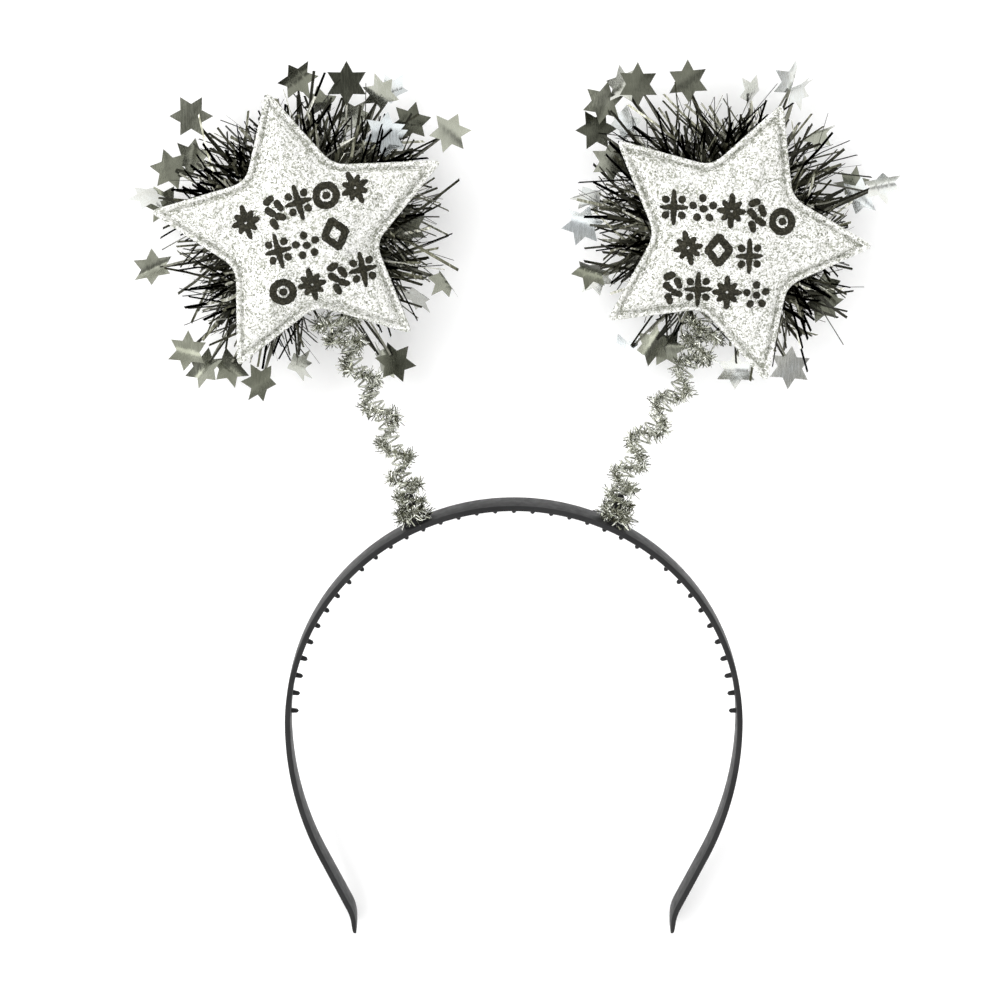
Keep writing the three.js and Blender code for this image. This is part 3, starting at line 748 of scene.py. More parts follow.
# Tinsel: strands of film that stand off a line. Aim is the middle way out at each point, ahead the way along it
def tinselTree():
    numbers = ["From", "To", "Fan", "Shortest", "Longest", "Width", "Thickness", "Taper", "Lean", "Slide"]
    numbers += ["Bow", "Kink", "Floor", "Ceiling"]
    sockets = {"Strands": "Int", "Segments": "Int", **{n: "Float" for n in numbers}, "Seed": "Int"}
    tree, given = newTree("tinsel", {**sockets, "Material": "Material"})

    def seed(step):
        return calc(tree, "ADD", given["Seed"], float(step))

    points = put(tree, "GeometryNodeMeshToPoints", {"Mesh": given["Geometry"]}).outputs[0]
    points = storeAttribute(tree, points, "bunchTurn", randomNumber(tree, given["From"], given["To"], seed(1)), "FLOAT")
    points = storeAttribute(tree, points, "bunchLean", randomNumber(tree, -1.0, 1.0, seed(2)), "FLOAT")
    inputs = {"Geometry": points, "Amount": given["Strands"]}
    points = put(tree, "GeometryNodeDuplicateElements", inputs, domain="POINT").outputs["Geometry"]

    turn = calc(tree, "ADD", readAttribute(tree, "bunchTurn", "FLOAT"),
                calc(tree, "MULTIPLY", randomNumber(tree, -1.0, 1.0, seed(3)), given["Fan"]))
    lean = calc(tree, "ADD", readAttribute(tree, "bunchLean", "FLOAT"), randomNumber(tree, -0.6, 0.6, seed(4)))
    lean = calc(tree, "MULTIPLY", lean, given["Lean"])
    aim, ahead = readAttribute(tree, "aim"), readAttribute(tree, "ahead")
    aside = vectorCalc(tree, "CROSS_PRODUCT", ahead, aim)
    way = vectorCalc(tree, "ADD", scaled(tree, aim, calc(tree, "COSINE", turn)),
                     scaled(tree, aside, calc(tree, "SINE", turn)))
    way = vectorCalc(tree, "NORMALIZE", vectorCalc(tree, "ADD", way, scaled(tree, ahead, lean)))
    slide = scaled(tree, ahead, calc(tree, "MULTIPLY", randomNumber(tree, -0.5, 0.5, seed(5)), given["Slide"]))
    length = calc(tree, "MULTIPLY", randomNumber(tree, given["Shortest"], given["Longest"], seed(6)),
                  readAttribute(tree, "reach", "FLOAT"))
    bow = scaled(tree, sideways(tree, randomVector(tree, seed(7)), way), given["Bow"])
    kink = scaled(tree, sideways(tree, randomVector(tree, seed(8)), way), given["Kink"])
    # The more a strand bends aside, the less far it reaches
    bend = vectorCalc(tree, "LENGTH", vectorCalc(tree, "ADD", bow, scaled(tree, kink, 0.4)))
    stretch = calc(tree, "SQRT", calc(tree, "ADD", calc(tree, "MULTIPLY", bend, bend), 1.0))
    length = calc(tree, "DIVIDE", length, stretch)
    bow, kink = scaled(tree, bow, length), scaled(tree, kink, length)
    # Random tone for each strand; on the black film its top end gives painted highlights
    points = storeAttribute(tree, points, "tone", randomNumber(tree, 0.0, 1.0, seed(11)), "FLOAT")
    points = storeAttribute(tree, points, "bow", bow)
    points = storeAttribute(tree, points, "kink", kink)
    points = storeAttribute(tree, points, "way", way)
    points = storeAttribute(tree, points, "length", length, "FLOAT")
    points = put(tree, "GeometryNodeSetPosition", {"Geometry": points, "Offset": slide}).outputs[0]

    size = put(tree, "ShaderNodeCombineXYZ", {0: given["Width"], 1: given["Thickness"], 2: 1.0}).outputs[0]
    inputs = {"Size": size, "Vertices X": 2, "Vertices Y": 2, "Vertices Z": given["Segments"]}
    strand = put(tree, "GeometryNodeMeshCube", inputs).outputs["Mesh"]
    parts = put(tree, "ShaderNodeSeparateXYZ", {0: put(tree, "GeometryNodeInputPosition").outputs[0]}).outputs
    along = calc(tree, "ADD", parts[2], 0.5)
    narrow = calc(tree, "SUBTRACT", 1.0, calc(tree, "MULTIPLY", along, given["Taper"]))
    place = put(tree, "ShaderNodeCombineXYZ", {
        0: calc(tree, "MULTIPLY", parts[0], narrow),
        1: calc(tree, "MULTIPLY", parts[1], narrow),
        2: along,
    }).outputs[0]
    strand = storeAttribute(tree, strand, "share", along, "FLOAT")
    strand = put(tree, "GeometryNodeSetPosition", {"Geometry": strand, "Position": place}).outputs[0]

    turned_ = put(tree, "FunctionNodeAlignRotationToVector", {"Vector": readAttribute(tree, "way")}, axis="Z")
    spin = put(tree, "FunctionNodeAxisAngleToRotation", {"Axis": (0, 0, 1), "Angle": randomNumber(tree, 0.0, 6.283, seed(9))})
    inputs = {"Rotation": turned_.outputs[0], "Rotate By": spin.outputs[0]}
    facing = put(tree, "FunctionNodeRotateRotation", inputs, rotation_space="LOCAL").outputs[0]
    thick = randomNumber(tree, 0.75, 1.25, seed(10))
    size = put(tree, "ShaderNodeCombineXYZ", {0: thick, 1: 1.0, 2: readAttribute(tree, "length", "FLOAT")}).outputs[0]
    inputs = {"Points": points, "Instance": strand, "Rotation": facing, "Scale": size}
    whole = put(tree, "GeometryNodeInstanceOnPoints", inputs).outputs[0]
    whole = put(tree, "GeometryNodeRealizeInstances", {"Geometry": whole}).outputs[0]
    share = readAttribute(tree, "share", "FLOAT")
    bent = scaled(tree, readAttribute(tree, "bow"), calc(tree, "MULTIPLY", share, share))
    past = calc(tree, "MAXIMUM", calc(tree, "SUBTRACT", share, 0.6), 0.0)
    bent = vectorCalc(tree, "ADD", bent, scaled(tree, readAttribute(tree, "kink"), past))
    whole = put(tree, "GeometryNodeSetPosition", {"Geometry": whole, "Offset": bent}).outputs[0]
    now = put(tree, "ShaderNodeSeparateXYZ", {0: put(tree, "GeometryNodeInputPosition").outputs[0]}).outputs
    level = calc(tree, "MINIMUM", calc(tree, "MAXIMUM", now[2], given["Floor"]), given["Ceiling"])
    place = put(tree, "ShaderNodeCombineXYZ", {0: now[0], 1: now[1], 2: level}).outputs[0]
    whole = put(tree, "GeometryNodeSetPosition", {"Geometry": whole, "Position": place}).outputs[0]
    endTree(tree, whole, given["Material"])
    return tree


def tinselLine(name, points, aims, reaches):
    mesh = newMesh(name, points)
    count = len(points)
    ahead = [(points[min(i + 1, count - 1)] - points[max(i - 1, 0)]).normalized() for i in range(count)]
    addAttribute(mesh, "aim", aims)
    addAttribute(mesh, "ahead", ahead)
    addAttribute(mesh, "reach", reaches, "FLOAT")
    return mesh


def wireAlong(name, line, radius, material, sides_=6):
    rings = []
    for i, point in enumerate(line):
        ahead = (line[min(i + 1, len(line) - 1)] - line[max(i - 1, 0)]).normalized()
        aside = ahead.cross(Vector((0, 0, 1)))
        aside = aside.normalized() if aside.length > 1e-4 else Vector((1, 0, 0))
        across = ahead.cross(aside)
        turns = [2 * math.pi * j / sides_ for j in range(sides_)]
        rings.append([point + radius * (aside * math.cos(t) + across * math.sin(t)) for t in turns])
    mesh = outward(newMesh(name, *skin(rings)))
    mesh.materials.append(material)
    return mesh


strandTree = tinselTree()
garland = {
    "radius": 0.0035,
    "wire": 0.00022,
    "pitch": 0.0132,
    "clumpTurns": 1.85,
    "startBelow": 0.0024,
    "headTurns": 1.0,
    "headLength": 0.014,
    "headSwell": 0.0022,
    "clumpLength": 0.005,
    "stop": 0.026,
    "pointGap": 0.00062,
    "strands": 8,
    "shortest": 0.0018,
    "longest": 0.0036,
    "width": 0.00034,
    "thickness": 0.00008,
}


# Silver tinsel winds round each spring, with a few close turns at its foot
def makeSilverTinsel():
    for number, (name, side) in enumerate(sides.items()):
        axis = springAxis(side)
        length = lineLength(axis)
        stop = length - (garland["stop"] - spring["socketHalf"])
        line, outs = [], []
        steps = 900
        for i in range(steps + 1):
            distance = -garland["startBelow"] + (stop + garland["startBelow"]) * i / steps
            spot = distance / length * (len(axis) - 1)
            low = min(max(int(spot), 0), len(axis) - 2)
            middle = axis[low] + (axis[low + 1] - axis[low]) * (spot - low)
            ahead = (axis[low + 1] - axis[low]).normalized()
            aside = ahead.cross(Vector((0, 0, 1))).normalized()
            above = aside.cross(ahead)
            clump = garland["clumpTurns"] * (1 - math.exp(-distance / garland["clumpLength"]))
            near = max(0.0, 1 - (stop - distance) / garland["headLength"])
            angle = 2 * math.pi * (distance / garland["pitch"] + clump + garland["headTurns"] * near**2)
            out = aside * math.cos(angle) + above * math.sin(angle)
            wide = 0.0004 * max(0.0, -distance / garland["startBelow"]) + garland["headSwell"] * near
            line.append(middle + out * (garland["radius"] + wide))
            outs.append(out)
        count = int(lineLength(line) / garland["pointGap"])
        even = evenly(line, count)
        aims = [o.normalized() for o in evenly(outs, count)]
        dense = [1.12 - 0.2 * min(1, i / 60) for i in range(count + 1)]
        hairs = grow("hairs", tinselLine("garland", even, aims, dense), strandTree, {
            "Strands": garland["strands"],
            "Segments": 3,
            "From": -math.pi,
            "To": math.pi,
            "Fan": 2.6,
            "Shortest": garland["shortest"],
            "Longest": garland["longest"],
            "Width": garland["width"],
            "Thickness": garland["thickness"],
            "Taper": 0.15,
            "Lean": 0.5,
            "Slide": 0.001,
            "Bow": 0.40,
            "Kink": 1.8,
            "Floor": 0.0002,
            "Ceiling": 0.05,
            "Seed": 11 + number,
            "Material": silverFilm,
        })
        core = wireAlong("core", line[::3], garland["wire"], springSteel)
        piece = gather(f"silverGarland_{name}", [hairs, core], keep=("tone",))
        finishPiece(piece, [f"silver_tinsel_{name}"], smooth=False)


makeSilverTinsel()
print("silver tinsel made")

# Padded stars: a flat welded rim round a cloth front that air pressure fills
pad = {
    "notch": 0.0223,
    "tipReach": 1.018,
    "tipRound": 0.0022,
    "notchRound": 0.0040,
    "spacing": 0.00145,
    "rim": 0.0019,
    "grooveHeight": 0.0007,
    "rimHeight": 0.0016,
    "height": 0.0093,
    "pressure": 4.0,
    "shrink": -0.06,
    "frames": 30,
}


def starOutline(side):
    tips = side["tips"]
    corners = []
    for i, (turn, reach) in enumerate(tips):
        following = tips[(i + 1) % len(tips)][0]
        following = following if following > turn else following + 360
        corners.append((polar(turn, side["starReach"] * reach * pad["tipReach"]), pad["tipRound"]))
        corners.append((polar((turn + following) / 2, pad["notch"]), pad["notchRound"]))
    line = []
    for i, (corner, reach) in enumerate(corners):
        before, after = corners[i - 1][0], corners[(i + 1) % len(corners)][0]
        start = corner + (before - corner).normalized() * reach
        end = corner + (after - corner).normalized() * reach
        for k in range(9):
            t = k / 8
            line.append(start * (1 - t) ** 2 + corner * 2 * t * (1 - t) + end * t * t)
    line.append(line[0].copy())
    count = int(lineLength(line) / pad["spacing"])
    return evenly(line, count)[:-1]


def inset(outline, distance):
    count = len(outline)
    moved = []
    for i, point in enumerate(outline):
        ahead = (outline[(i + 1) % count] - outline[i - 1]).normalized()
        moved.append(point + Vector((-ahead.y, ahead.x, 0)) * distance)
    return moved


# Flat sheet of near-even triangles inside a ring
def sheetInside(ring):
    flat = [Vector((p.x, p.y)) for p in ring]
    count = len(flat)
    polygon = np.array([tuple(p) for p in flat])
    step = pad["spacing"]
    rows = int(0.05 / (step * 0.866))
    points = list(flat)
    for r in range(-rows, rows + 1):
        for c in range(-40, 41):
            spot = np.array([(c + 0.5 * (r % 2)) * step, r * step * 0.866])
            if insideRing(spot, polygon) and np.min(np.linalg.norm(polygon - spot, axis=1)) > 0.72 * step:
                points.append(Vector(spot))
    edges = [(i, (i + 1) % count) for i in range(count)]
    spots, _, faces, origins, _, _ = delaunay_2d_cdt(points, edges, [], 1, 1e-7)
    order = {origin[0]: i for i, origin in enumerate(origins) if origin}
    return spots, faces, [order[i] for i in range(count)]


def insideRing(spot, polygon):
    x, y = spot
    ax, ay = polygon[:, 0], polygon[:, 1]
    bx, by = np.roll(ax, -1), np.roll(ay, -1)
    crossing = (ay > y) != (by > y)
    with np.errstate(divide="ignore", invalid="ignore"):
        reach = (bx - ax) * (y - ay) / (by - ay) + ax
    return int(np.sum(crossing & (x < reach))) % 2 == 1


# Height of the padding before it swells, from the way to the rim
def startHeights(spots, ring):
    polygon = np.array([(p.x, p.y) for p in ring])
    heights = []
    for spot in spots:
        away = float(np.min(np.linalg.norm(polygon - np.array(spot), axis=1)))
        share = min(1, away / 0.017)
        heights.append(pad["grooveHeight"] + (pad["height"] - pad["grooveHeight"]) * math.sqrt(1 - (1 - share) ** 2))
    return heights


def swell(name, points, faces, pinned, limits):
    cloth = newObject(name, newMesh(name, points, faces))
    group = cloth.vertex_groups.new(name="rim")
    group.add(pinned, 1.0, "REPLACE")
    modifier = cloth.modifiers.new("cloth", "CLOTH")
    settings = modifier.settings
    settings.vertex_group_mass = "rim"
    settings.use_pressure = True
    settings.uniform_pressure_force = pad["pressure"]
    settings.effector_weights.gravity = 0
    settings.shrink_min = pad["shrink"]
    settings.quality = 6
    settings.tension_stiffness = 12
    settings.compression_stiffness = 12
    settings.bending_stiffness = 0.05
    settings.air_damping = 4
    modifier.collision_settings.use_collision = False
    modifier.point_cache.frame_start = 1
    modifier.point_cache.frame_end = pad["frames"]
    for number in range(1, pad["frames"] + 1):
        scene.frame_set(number)
    graph = bpy.context.evaluated_depsgraph_get()
    result = cloth.evaluated_get(graph).data
    swollen = [v.co.copy() for v in result.vertices]
    cloth.modifiers.clear()
    scene.frame_set(1)
    bpy.data.objects.remove(cloth)
    for start, now, limit in zip(points, swollen, limits):
        side = Vector((now.x - start.x, now.y - start.y, 0))
        if side.length > 0.0012:
            now.x, now.y = start.x + side.x * 0.0012 / side.length, start.y + side.y * 0.0012 / side.length
        now.z = min(max(now.z, 0.0004), limit)
    return swollen


def makeStar(name, side):
    middle = starMiddle(side)
    outline = starOutline(side)
    seam = inset(outline, pad["rim"])
    spots, faces, ringIds = sheetInside(seam)
    full = startHeights(spots, seam)
    low = [pad["grooveHeight"] + (h - pad["grooveHeight"]) * 0.72 for h in full]
    start = [Vector((s.x, s.y, h)) for s, h in zip(spots, low)]
    limits = [h + 0.0012 if h > 0.004 else h + 0.0009 for h in full]
    points = swell(f"sheet_{name}", start, faces, ringIds, [min(x, 0.0097) for x in limits])
    print("star", name, "swells to", round(1000 * max(p.z for p in points), 2), "mm")
    count = len(ringIds)
    allPoints = [Vector(p) for p in points]
    allFaces = [tuple(f) for f in faces]
    rows = [(0.00165, 0.00112), (0.00130, pad["rimHeight"]), (0.0005, pad["rimHeight"]), (0.00012, 0.00125)]
    rows += [(0, 0.0008), (0.0001, 0.0003), (0.0005, 0)]
    previous = ringIds
    for distance, height in rows:
        ring = inset(outline, distance)
        base = len(allPoints)
        allPoints += [Vector((p.x, p.y, height)) for p in ring]
        now = list(range(base, base + count))
        allFaces += [(previous[j], now[j], now[(j + 1) % count], previous[(j + 1) % count]) for j in range(count)]
        previous = now
    lastRing = [allPoints[i] for i in previous]
    for share in (0.85, 0.6, 0.3):
        base = len(allPoints)
        allPoints += [Vector((p.x * share, p.y * share, 0)) for p in lastRing]
        now = list(range(base, base + count))
        allFaces += [(previous[j], now[j], now[(j + 1) % count], previous[(j + 1) % count]) for j in range(count)]
        previous = now
    allPoints.append(Vector((0, 0, 0)))
    allFaces += [(previous[j], len(allPoints) - 1, previous[(j + 1) % count]) for j in range(count)]
    mesh = outward(newMesh(name, allPoints, allFaces))
    # Painted shade: the seam attribute darkens the glitter in the groove ring, on the rim slope beside it and along the
    # outer edge where the rim turns down
    paintedGrooveShade = [0.0] * len(allPoints)
    for i in ringIds:
        paintedGrooveShade[i] = 1.0
    first = len(points)
    for row, share in ((0, 0.55), (3, 0.4), (4, 0.92), (5, 0.92)):
        for j in range(count):
            paintedGrooveShade[first + row * count + j] = share
    addAttribute(mesh, "seam", paintedGrooveShade, "FLOAT")
    shell = newObject("shell", mesh)
    soft = shell.modifiers.new("soft", "SUBSURF")
    soft.levels = soft.render_levels = 1
    graph = bpy.context.evaluated_depsgraph_get()
    smooth = bpy.data.meshes.new_from_object(shell.evaluated_get(graph))
    bpy.data.objects.remove(shell)
    smooth.transform(Matrix.Translation(middle))
    smooth.materials.append(starGlitter)
    smooth.materials.append(backFelt)
    for face in smooth.polygons:
        if face.normal.z < -0.9 and face.center.z < starBack + 0.0001:
            face.material_index = 1
    piece = newObject(f"paddedStar_{name}", smooth)
    finishPiece(piece, [f"puffed_star_{name}"])
    return piece


stars = {name: makeStar(name, side) for name, side in sides.items()}
print("padded stars made")

# Loose glitter on the front of each star
flakes = {"radius": 0.00023, "thickness": 0.00003, "density": 1500000.0, "lift": 0.00004, "tilt": 0.42}


def flakeTree():
    sockets = {"Density": "Float", "Radius": "Float", "Thickness": "Float", "Lift": "Float", "Tilt": "Float"}
    tree, given = newTree("looseGlitter", {**sockets, "Seed": "Int", "Material": "Material"})
    normal = put(tree, "GeometryNodeInputNormal").outputs[0]
    upward = calc(tree, "GREATER_THAN", put(tree, "ShaderNodeSeparateXYZ", {0: normal}).outputs[2], 0.15)
    inputs = {"Mesh": given["Geometry"], "Selection": upward, "Density": given["Density"], "Seed": given["Seed"]}
    spread = put(tree, "GeometryNodeDistributePointsOnFaces", inputs)
    lift = scaled(tree, spread.outputs["Normal"], given["Lift"])
    points = put(tree, "GeometryNodeSetPosition", {"Geometry": spread.outputs["Points"], "Offset": lift}).outputs[0]
    inputs = {"Vertices": 6, "Radius": given["Radius"], "Depth": given["Thickness"]}
    flake = put(tree, "GeometryNodeMeshCylinder", inputs).outputs["Mesh"]
    lean = scaled(tree, randomVector(tree, given["Seed"]), given["Tilt"])
    turn = put(tree, "FunctionNodeEulerToRotation", {0: lean}).outputs[0]
    inputs = {"Rotation": spread.outputs["Rotation"], "Rotate By": turn}
    facing = put(tree, "FunctionNodeRotateRotation", inputs, rotation_space="LOCAL").outputs[0]
    size = randomNumber(tree, 0.6, 1.15, calc(tree, "ADD", given["Seed"], 5.0))
    inputs = {"Points": points, "Instance": flake, "Rotation": facing, "Scale": size}
    endTree(tree, put(tree, "GeometryNodeInstanceOnPoints", inputs).outputs[0], given["Material"])
    return tree


flakeGlitter = glitterMaterial("flakeGlitter", 0.0009, glitterStops, 0.75, 0.25)


def makeFlakes():
    tree = flakeTree()
    for number, (name, star) in enumerate(stars.items()):
        mesh = grow("flakes", star.data.copy(), tree, {
            "Density": flakes["density"],
            "Radius": flakes["radius"],
            "Thickness": flakes["thickness"],
            "Lift": flakes["lift"],
            "Tilt": flakes["tilt"],
            "Seed": 40 + number,
            "Material": flakeGlitter,
        })
        mesh.materials.clear()
        mesh.materials.append(flakeGlitter)
        mesh.polygons.foreach_set("material_index", [0] * len(mesh.polygons))
        piece = gather(f"looseGlitter_{name}", [mesh])
        finishPiece(piece, [], smooth=False)
        print("flakes", name, len(mesh.polygons) // 8)


makeFlakes()
print("loose glitter made")

# Marks on the stars: bursts, sparkles, ringed dots, confetti and diamonds, laid in three rows
marks = {
    "stroke": 0.0022,
    "size": 0.0041,
    "lift": 0.00042,
    "step": 0.0004,
    "ragged": 0.00013,
    "rows": {
        "left": [
            (-16.1, 3.4, "burst", 17), (-7.4, 6.6, "confetti", 17), (-0.4, 9.4, "sparkle", 17),
            (7.7, 11.4, "ringedDot", 17), (16.1, 13.6, "burst", 30),
            (-6.4, -4.9, "sparkle", 15), (1.9, -3.2, "dots", 15), (10.4, 0.2, "diamond", 15),
            (-5.3, -17.2, "ringedDot", 12), (3.3, -15.0, "burst", 12), (11.2, -12.9, "confetti", 12),
            (18.3, -10.6, "sparkle", 12),
        ],
        "right": [
            (-16.8, 9.6, "sparkle", 0), (-8.3, 9.3, "dots", 0), (0.0, 8.7, "burst", -4),
            (7.6, 7.4, "confetti", -5), (15.2, 5.4, "ringedDot", 0),
            (-12.6, -2.3, "burst", 12), (-3.7, -2.8, "diamond", 0), (5.4, -4.6, "sparkle", 0),
            (-16.9, -14.2, "confetti", 2), (-9.4, -14.8, "sparkle", 0), (-0.9, -15.6, "burst", 0),
            (7.8, -16.4, "dots", 0),
        ],
    },
}


# Each shape is a list of strokes, and a stroke is its points, from -1 to 1, and how much its ends narrow
def motif(kind):
    def ray(turn, low, high):
        return [polar(turn, low), polar(turn, high)]

    if kind == "burst":
        return [(ray(45 * i, 0.36, (0.80, 0.70, 1.0, 0.70)[i % 4]), 0.3) for i in range(8)]
    if kind == "sparkle":
        rays = [(ray(90 * i, 0.0, 1.05 if i % 2 else 0.76), 0.55) for i in range(4)]
        return rays + [(ray(45 + 90 * i, 0.78, 0.84), 0.0) for i in range(4)]
    if kind == "ringedDot":
        ring = [polar(15 * i, 0.72) for i in range(25)]
        return [(ring, 0.0), (ray(0, 0.0, 0.06), 0.0)]
    if kind == "confetti":
        dashes = [(-0.42, 0.80, -0.05, 0.95), (0.30, 0.52, 0.46, 0.16), (-0.48, 0.22, -0.20, -0.08)]
        dashes += [(0.12, -0.36, 0.46, -0.52), (-0.34, -0.66, -0.22, -1.0)]
        return [([Vector((a, b, 0)), Vector((c, d, 0))], 0.1) for a, b, c, d in dashes]
    if kind == "dots":
        return [(ray(90 + 72 * i, 0.72, 0.78), 0.0) for i in range(5)] + [(ray(0, 0.0, 0.06), 0.0)]
    corners = [Vector((x, y, 0)) for x, y in ((0.4, 0.5), (0.8, 0), (0, -1), (-0.8, 0), (0, 1), (0.4, 0.5))]
    return [(corners, 0.0)]  # diamond


def strokeRings(line, narrow, surface, middle, rng):
    half = marks["stroke"] / 2
    length = lineLength(line)
    count = max(4, int(length / marks["step"]))
    line = evenly(line, count)
    ahead = (line[1] - line[0]).normalized()
    back = (line[-1] - line[-2]).normalized()
    line = [line[0] - ahead * half * k for k in (0.96, 0.7, 0.35)] + line + [line[-1] + back * half * k for k in (0.35, 0.7, 0.96)]
    total = len(line)
    rings = []
    for i, point in enumerate(line):
        way = (line[min(i + 1, total - 1)] - line[max(i - 1, 0)]).normalized()
        across = Vector((-way.y, way.x, 0))
        edge = min(i, total - 1 - i)
        cap = (0.28, 0.71, 0.94)[edge] if edge < 3 else 1.0
        away = max(0.0, (i - 3) / max(1, total - 7))
        width = half * cap * (1 - narrow * 0.75 * away)
        ring = []
        for across_, lift in ((-1, 0.2), (-0.7, 0.85), (0, 1), (0.7, 0.85), (1, 0.2), (1, -1), (-1, -1)):
            jitter = rng.uniform(-1, 1) * marks["ragged"] if abs(across_) == 1 and lift > 0 else 0
            spot = point + across * (across_ * width + jitter)
            hit = surface.ray_cast(Vector((middle.x + spot.x, middle.y + spot.y, 0.06)), Vector((0, 0, -1)))[0]
            level = hit.z if hit else middle.z + 0.001
            ring.append(Vector((middle.x + spot.x, middle.y + spot.y, level + lift * marks["lift"])))
        rings.append(ring)
    return rings


def makeMarks():
    rng = random.Random(7)
    for name, star in stars.items():
        graph = bpy.context.evaluated_depsgraph_get()
        surface = BVHTree.FromObject(star, graph)
        middle = starMiddle(sides[name])
        meshes = []
        for x, y, kind, turn in marks["rows"][name]:
            place = Matrix.Translation((x * 0.001, y * 0.001, 0)) @ Matrix.Rotation(math.radians(turn), 4, "Z")
            for line, narrow in motif(kind):
                drawn = [place @ (p * marks["size"]) for p in line]
                mesh = newMesh(kind, *skin(strokeRings(drawn, narrow, surface, middle, rng)))
                mesh.materials.append(markGlitter)
                meshes.append(outward(mesh))
        finishPiece(gather(f"starMarks_{name}", meshes), [])


makeMarks()
print("marks made")

# Black tinsel: a wound ring behind each star with bunches of film strands, long enough to show past it
wreath = {
    "coreRadius": 0.012,
    "coreThickness": 0.0019,
    "drop": 0.0023,
    "opening": 30,
    "points": 96,
    "strands": 9,
    "shortest": 0.0240,
    "longest": 0.0420,
    "width": 0.00110,
    "thickness": 0.00018,
    # How far the strands reach beside their full length, by the way they go in degrees
    "reach": {
        "left": [
            (0, 0.95), (50, 0.98), (65, 0.92), (95, 0.9), (110, 0.66), (125, 0.8), (160, 0.92), (180, 0.70), (205, 0.84),
            (260, 0.95), (300, 0.9), (318, 0.62), (335, 0.86), (360, 0.95),
        ],
        "right": [
            (0, 0.55), (14, 0.9), (50, 0.92), (62, 0.8), (80, 0.92), (130, 0.98), (160, 0.95), (175, 0.9), (204, 0.66),
            (222, 0.66), (240, 0.9), (270, 0.9), (285, 0.62), (300, 0.9), (335, 0.84), (350, 0.6), (360, 0.55),
        ],
    },
}


def makeWreaths():
    for number, (name, side) in enumerate(sides.items()):
        middle = starMiddle(side)
        springTurn = 270 - side["sign"] * side["headLean"]
        sweep = 360 - 2 * wreath["opening"]
        points, aims, reaches = [], [], []
        rng = random.Random(31 + number)
        for i in range(wreath["points"]):
            turn = springTurn + wreath["opening"] + sweep * i / (wreath["points"] - 1)
            points.append(middle + polar(turn, wreath["coreRadius"], -wreath["drop"]))
            aims.append(polar(turn, 1.0))
            turns, shares = zip(*wreath["reach"][name])
            reaches.append(rng.uniform(0.78, 1.0) * float(np.interp(turn % 360, turns, shares)))
        line = tinselLine("wreathLine", points, aims, reaches)
        shared = {
            "Segments": 6,
            "Width": wreath["width"],
            "Thickness": wreath["thickness"],
            "Taper": 0.3,
            "Slide": 0.003,
            "Bow": 0.50,
            "Kink": 1.35,
            "Floor": 0.0002,
            "Ceiling": 0.0266,
            "Material": blackFilm,
        }
        outer = grow("outerStrands", line, strandTree, {
            **shared,
            "Strands": wreath["strands"],
            "From": -0.05,
            "To": 0.62,
            "Fan": 0.08,
            "Shortest": wreath["shortest"],
            "Longest": wreath["longest"],
            "Lean": 0.62,
            "Seed": 60 + number,
        })
        lower = grow("lowerStrands", tinselLine("wreathLine", points, aims, reaches), strandTree, {
            **shared,
            "Strands": wreath["strands"] // 2,
            "From": 0.5,
            "To": 1.5,
            "Fan": 0.16,
            "Shortest": 0.018,
            "Longest": 0.030,
            "Lean": 0.5,
            "Seed": 80 + number,
        })
        core = wireAlong("core", points, wreath["coreThickness"], blackFilm, 10)
        piece = gather(f"blackWreath_{name}", [outer, lower, core], keep=("tone",))
        finishPiece(piece, [f"tinsel_wreath_{name}"], smooth=False)
        print("wreath", name, len(piece.data.polygons), "faces")


makeWreaths()
print("black tinsel made")

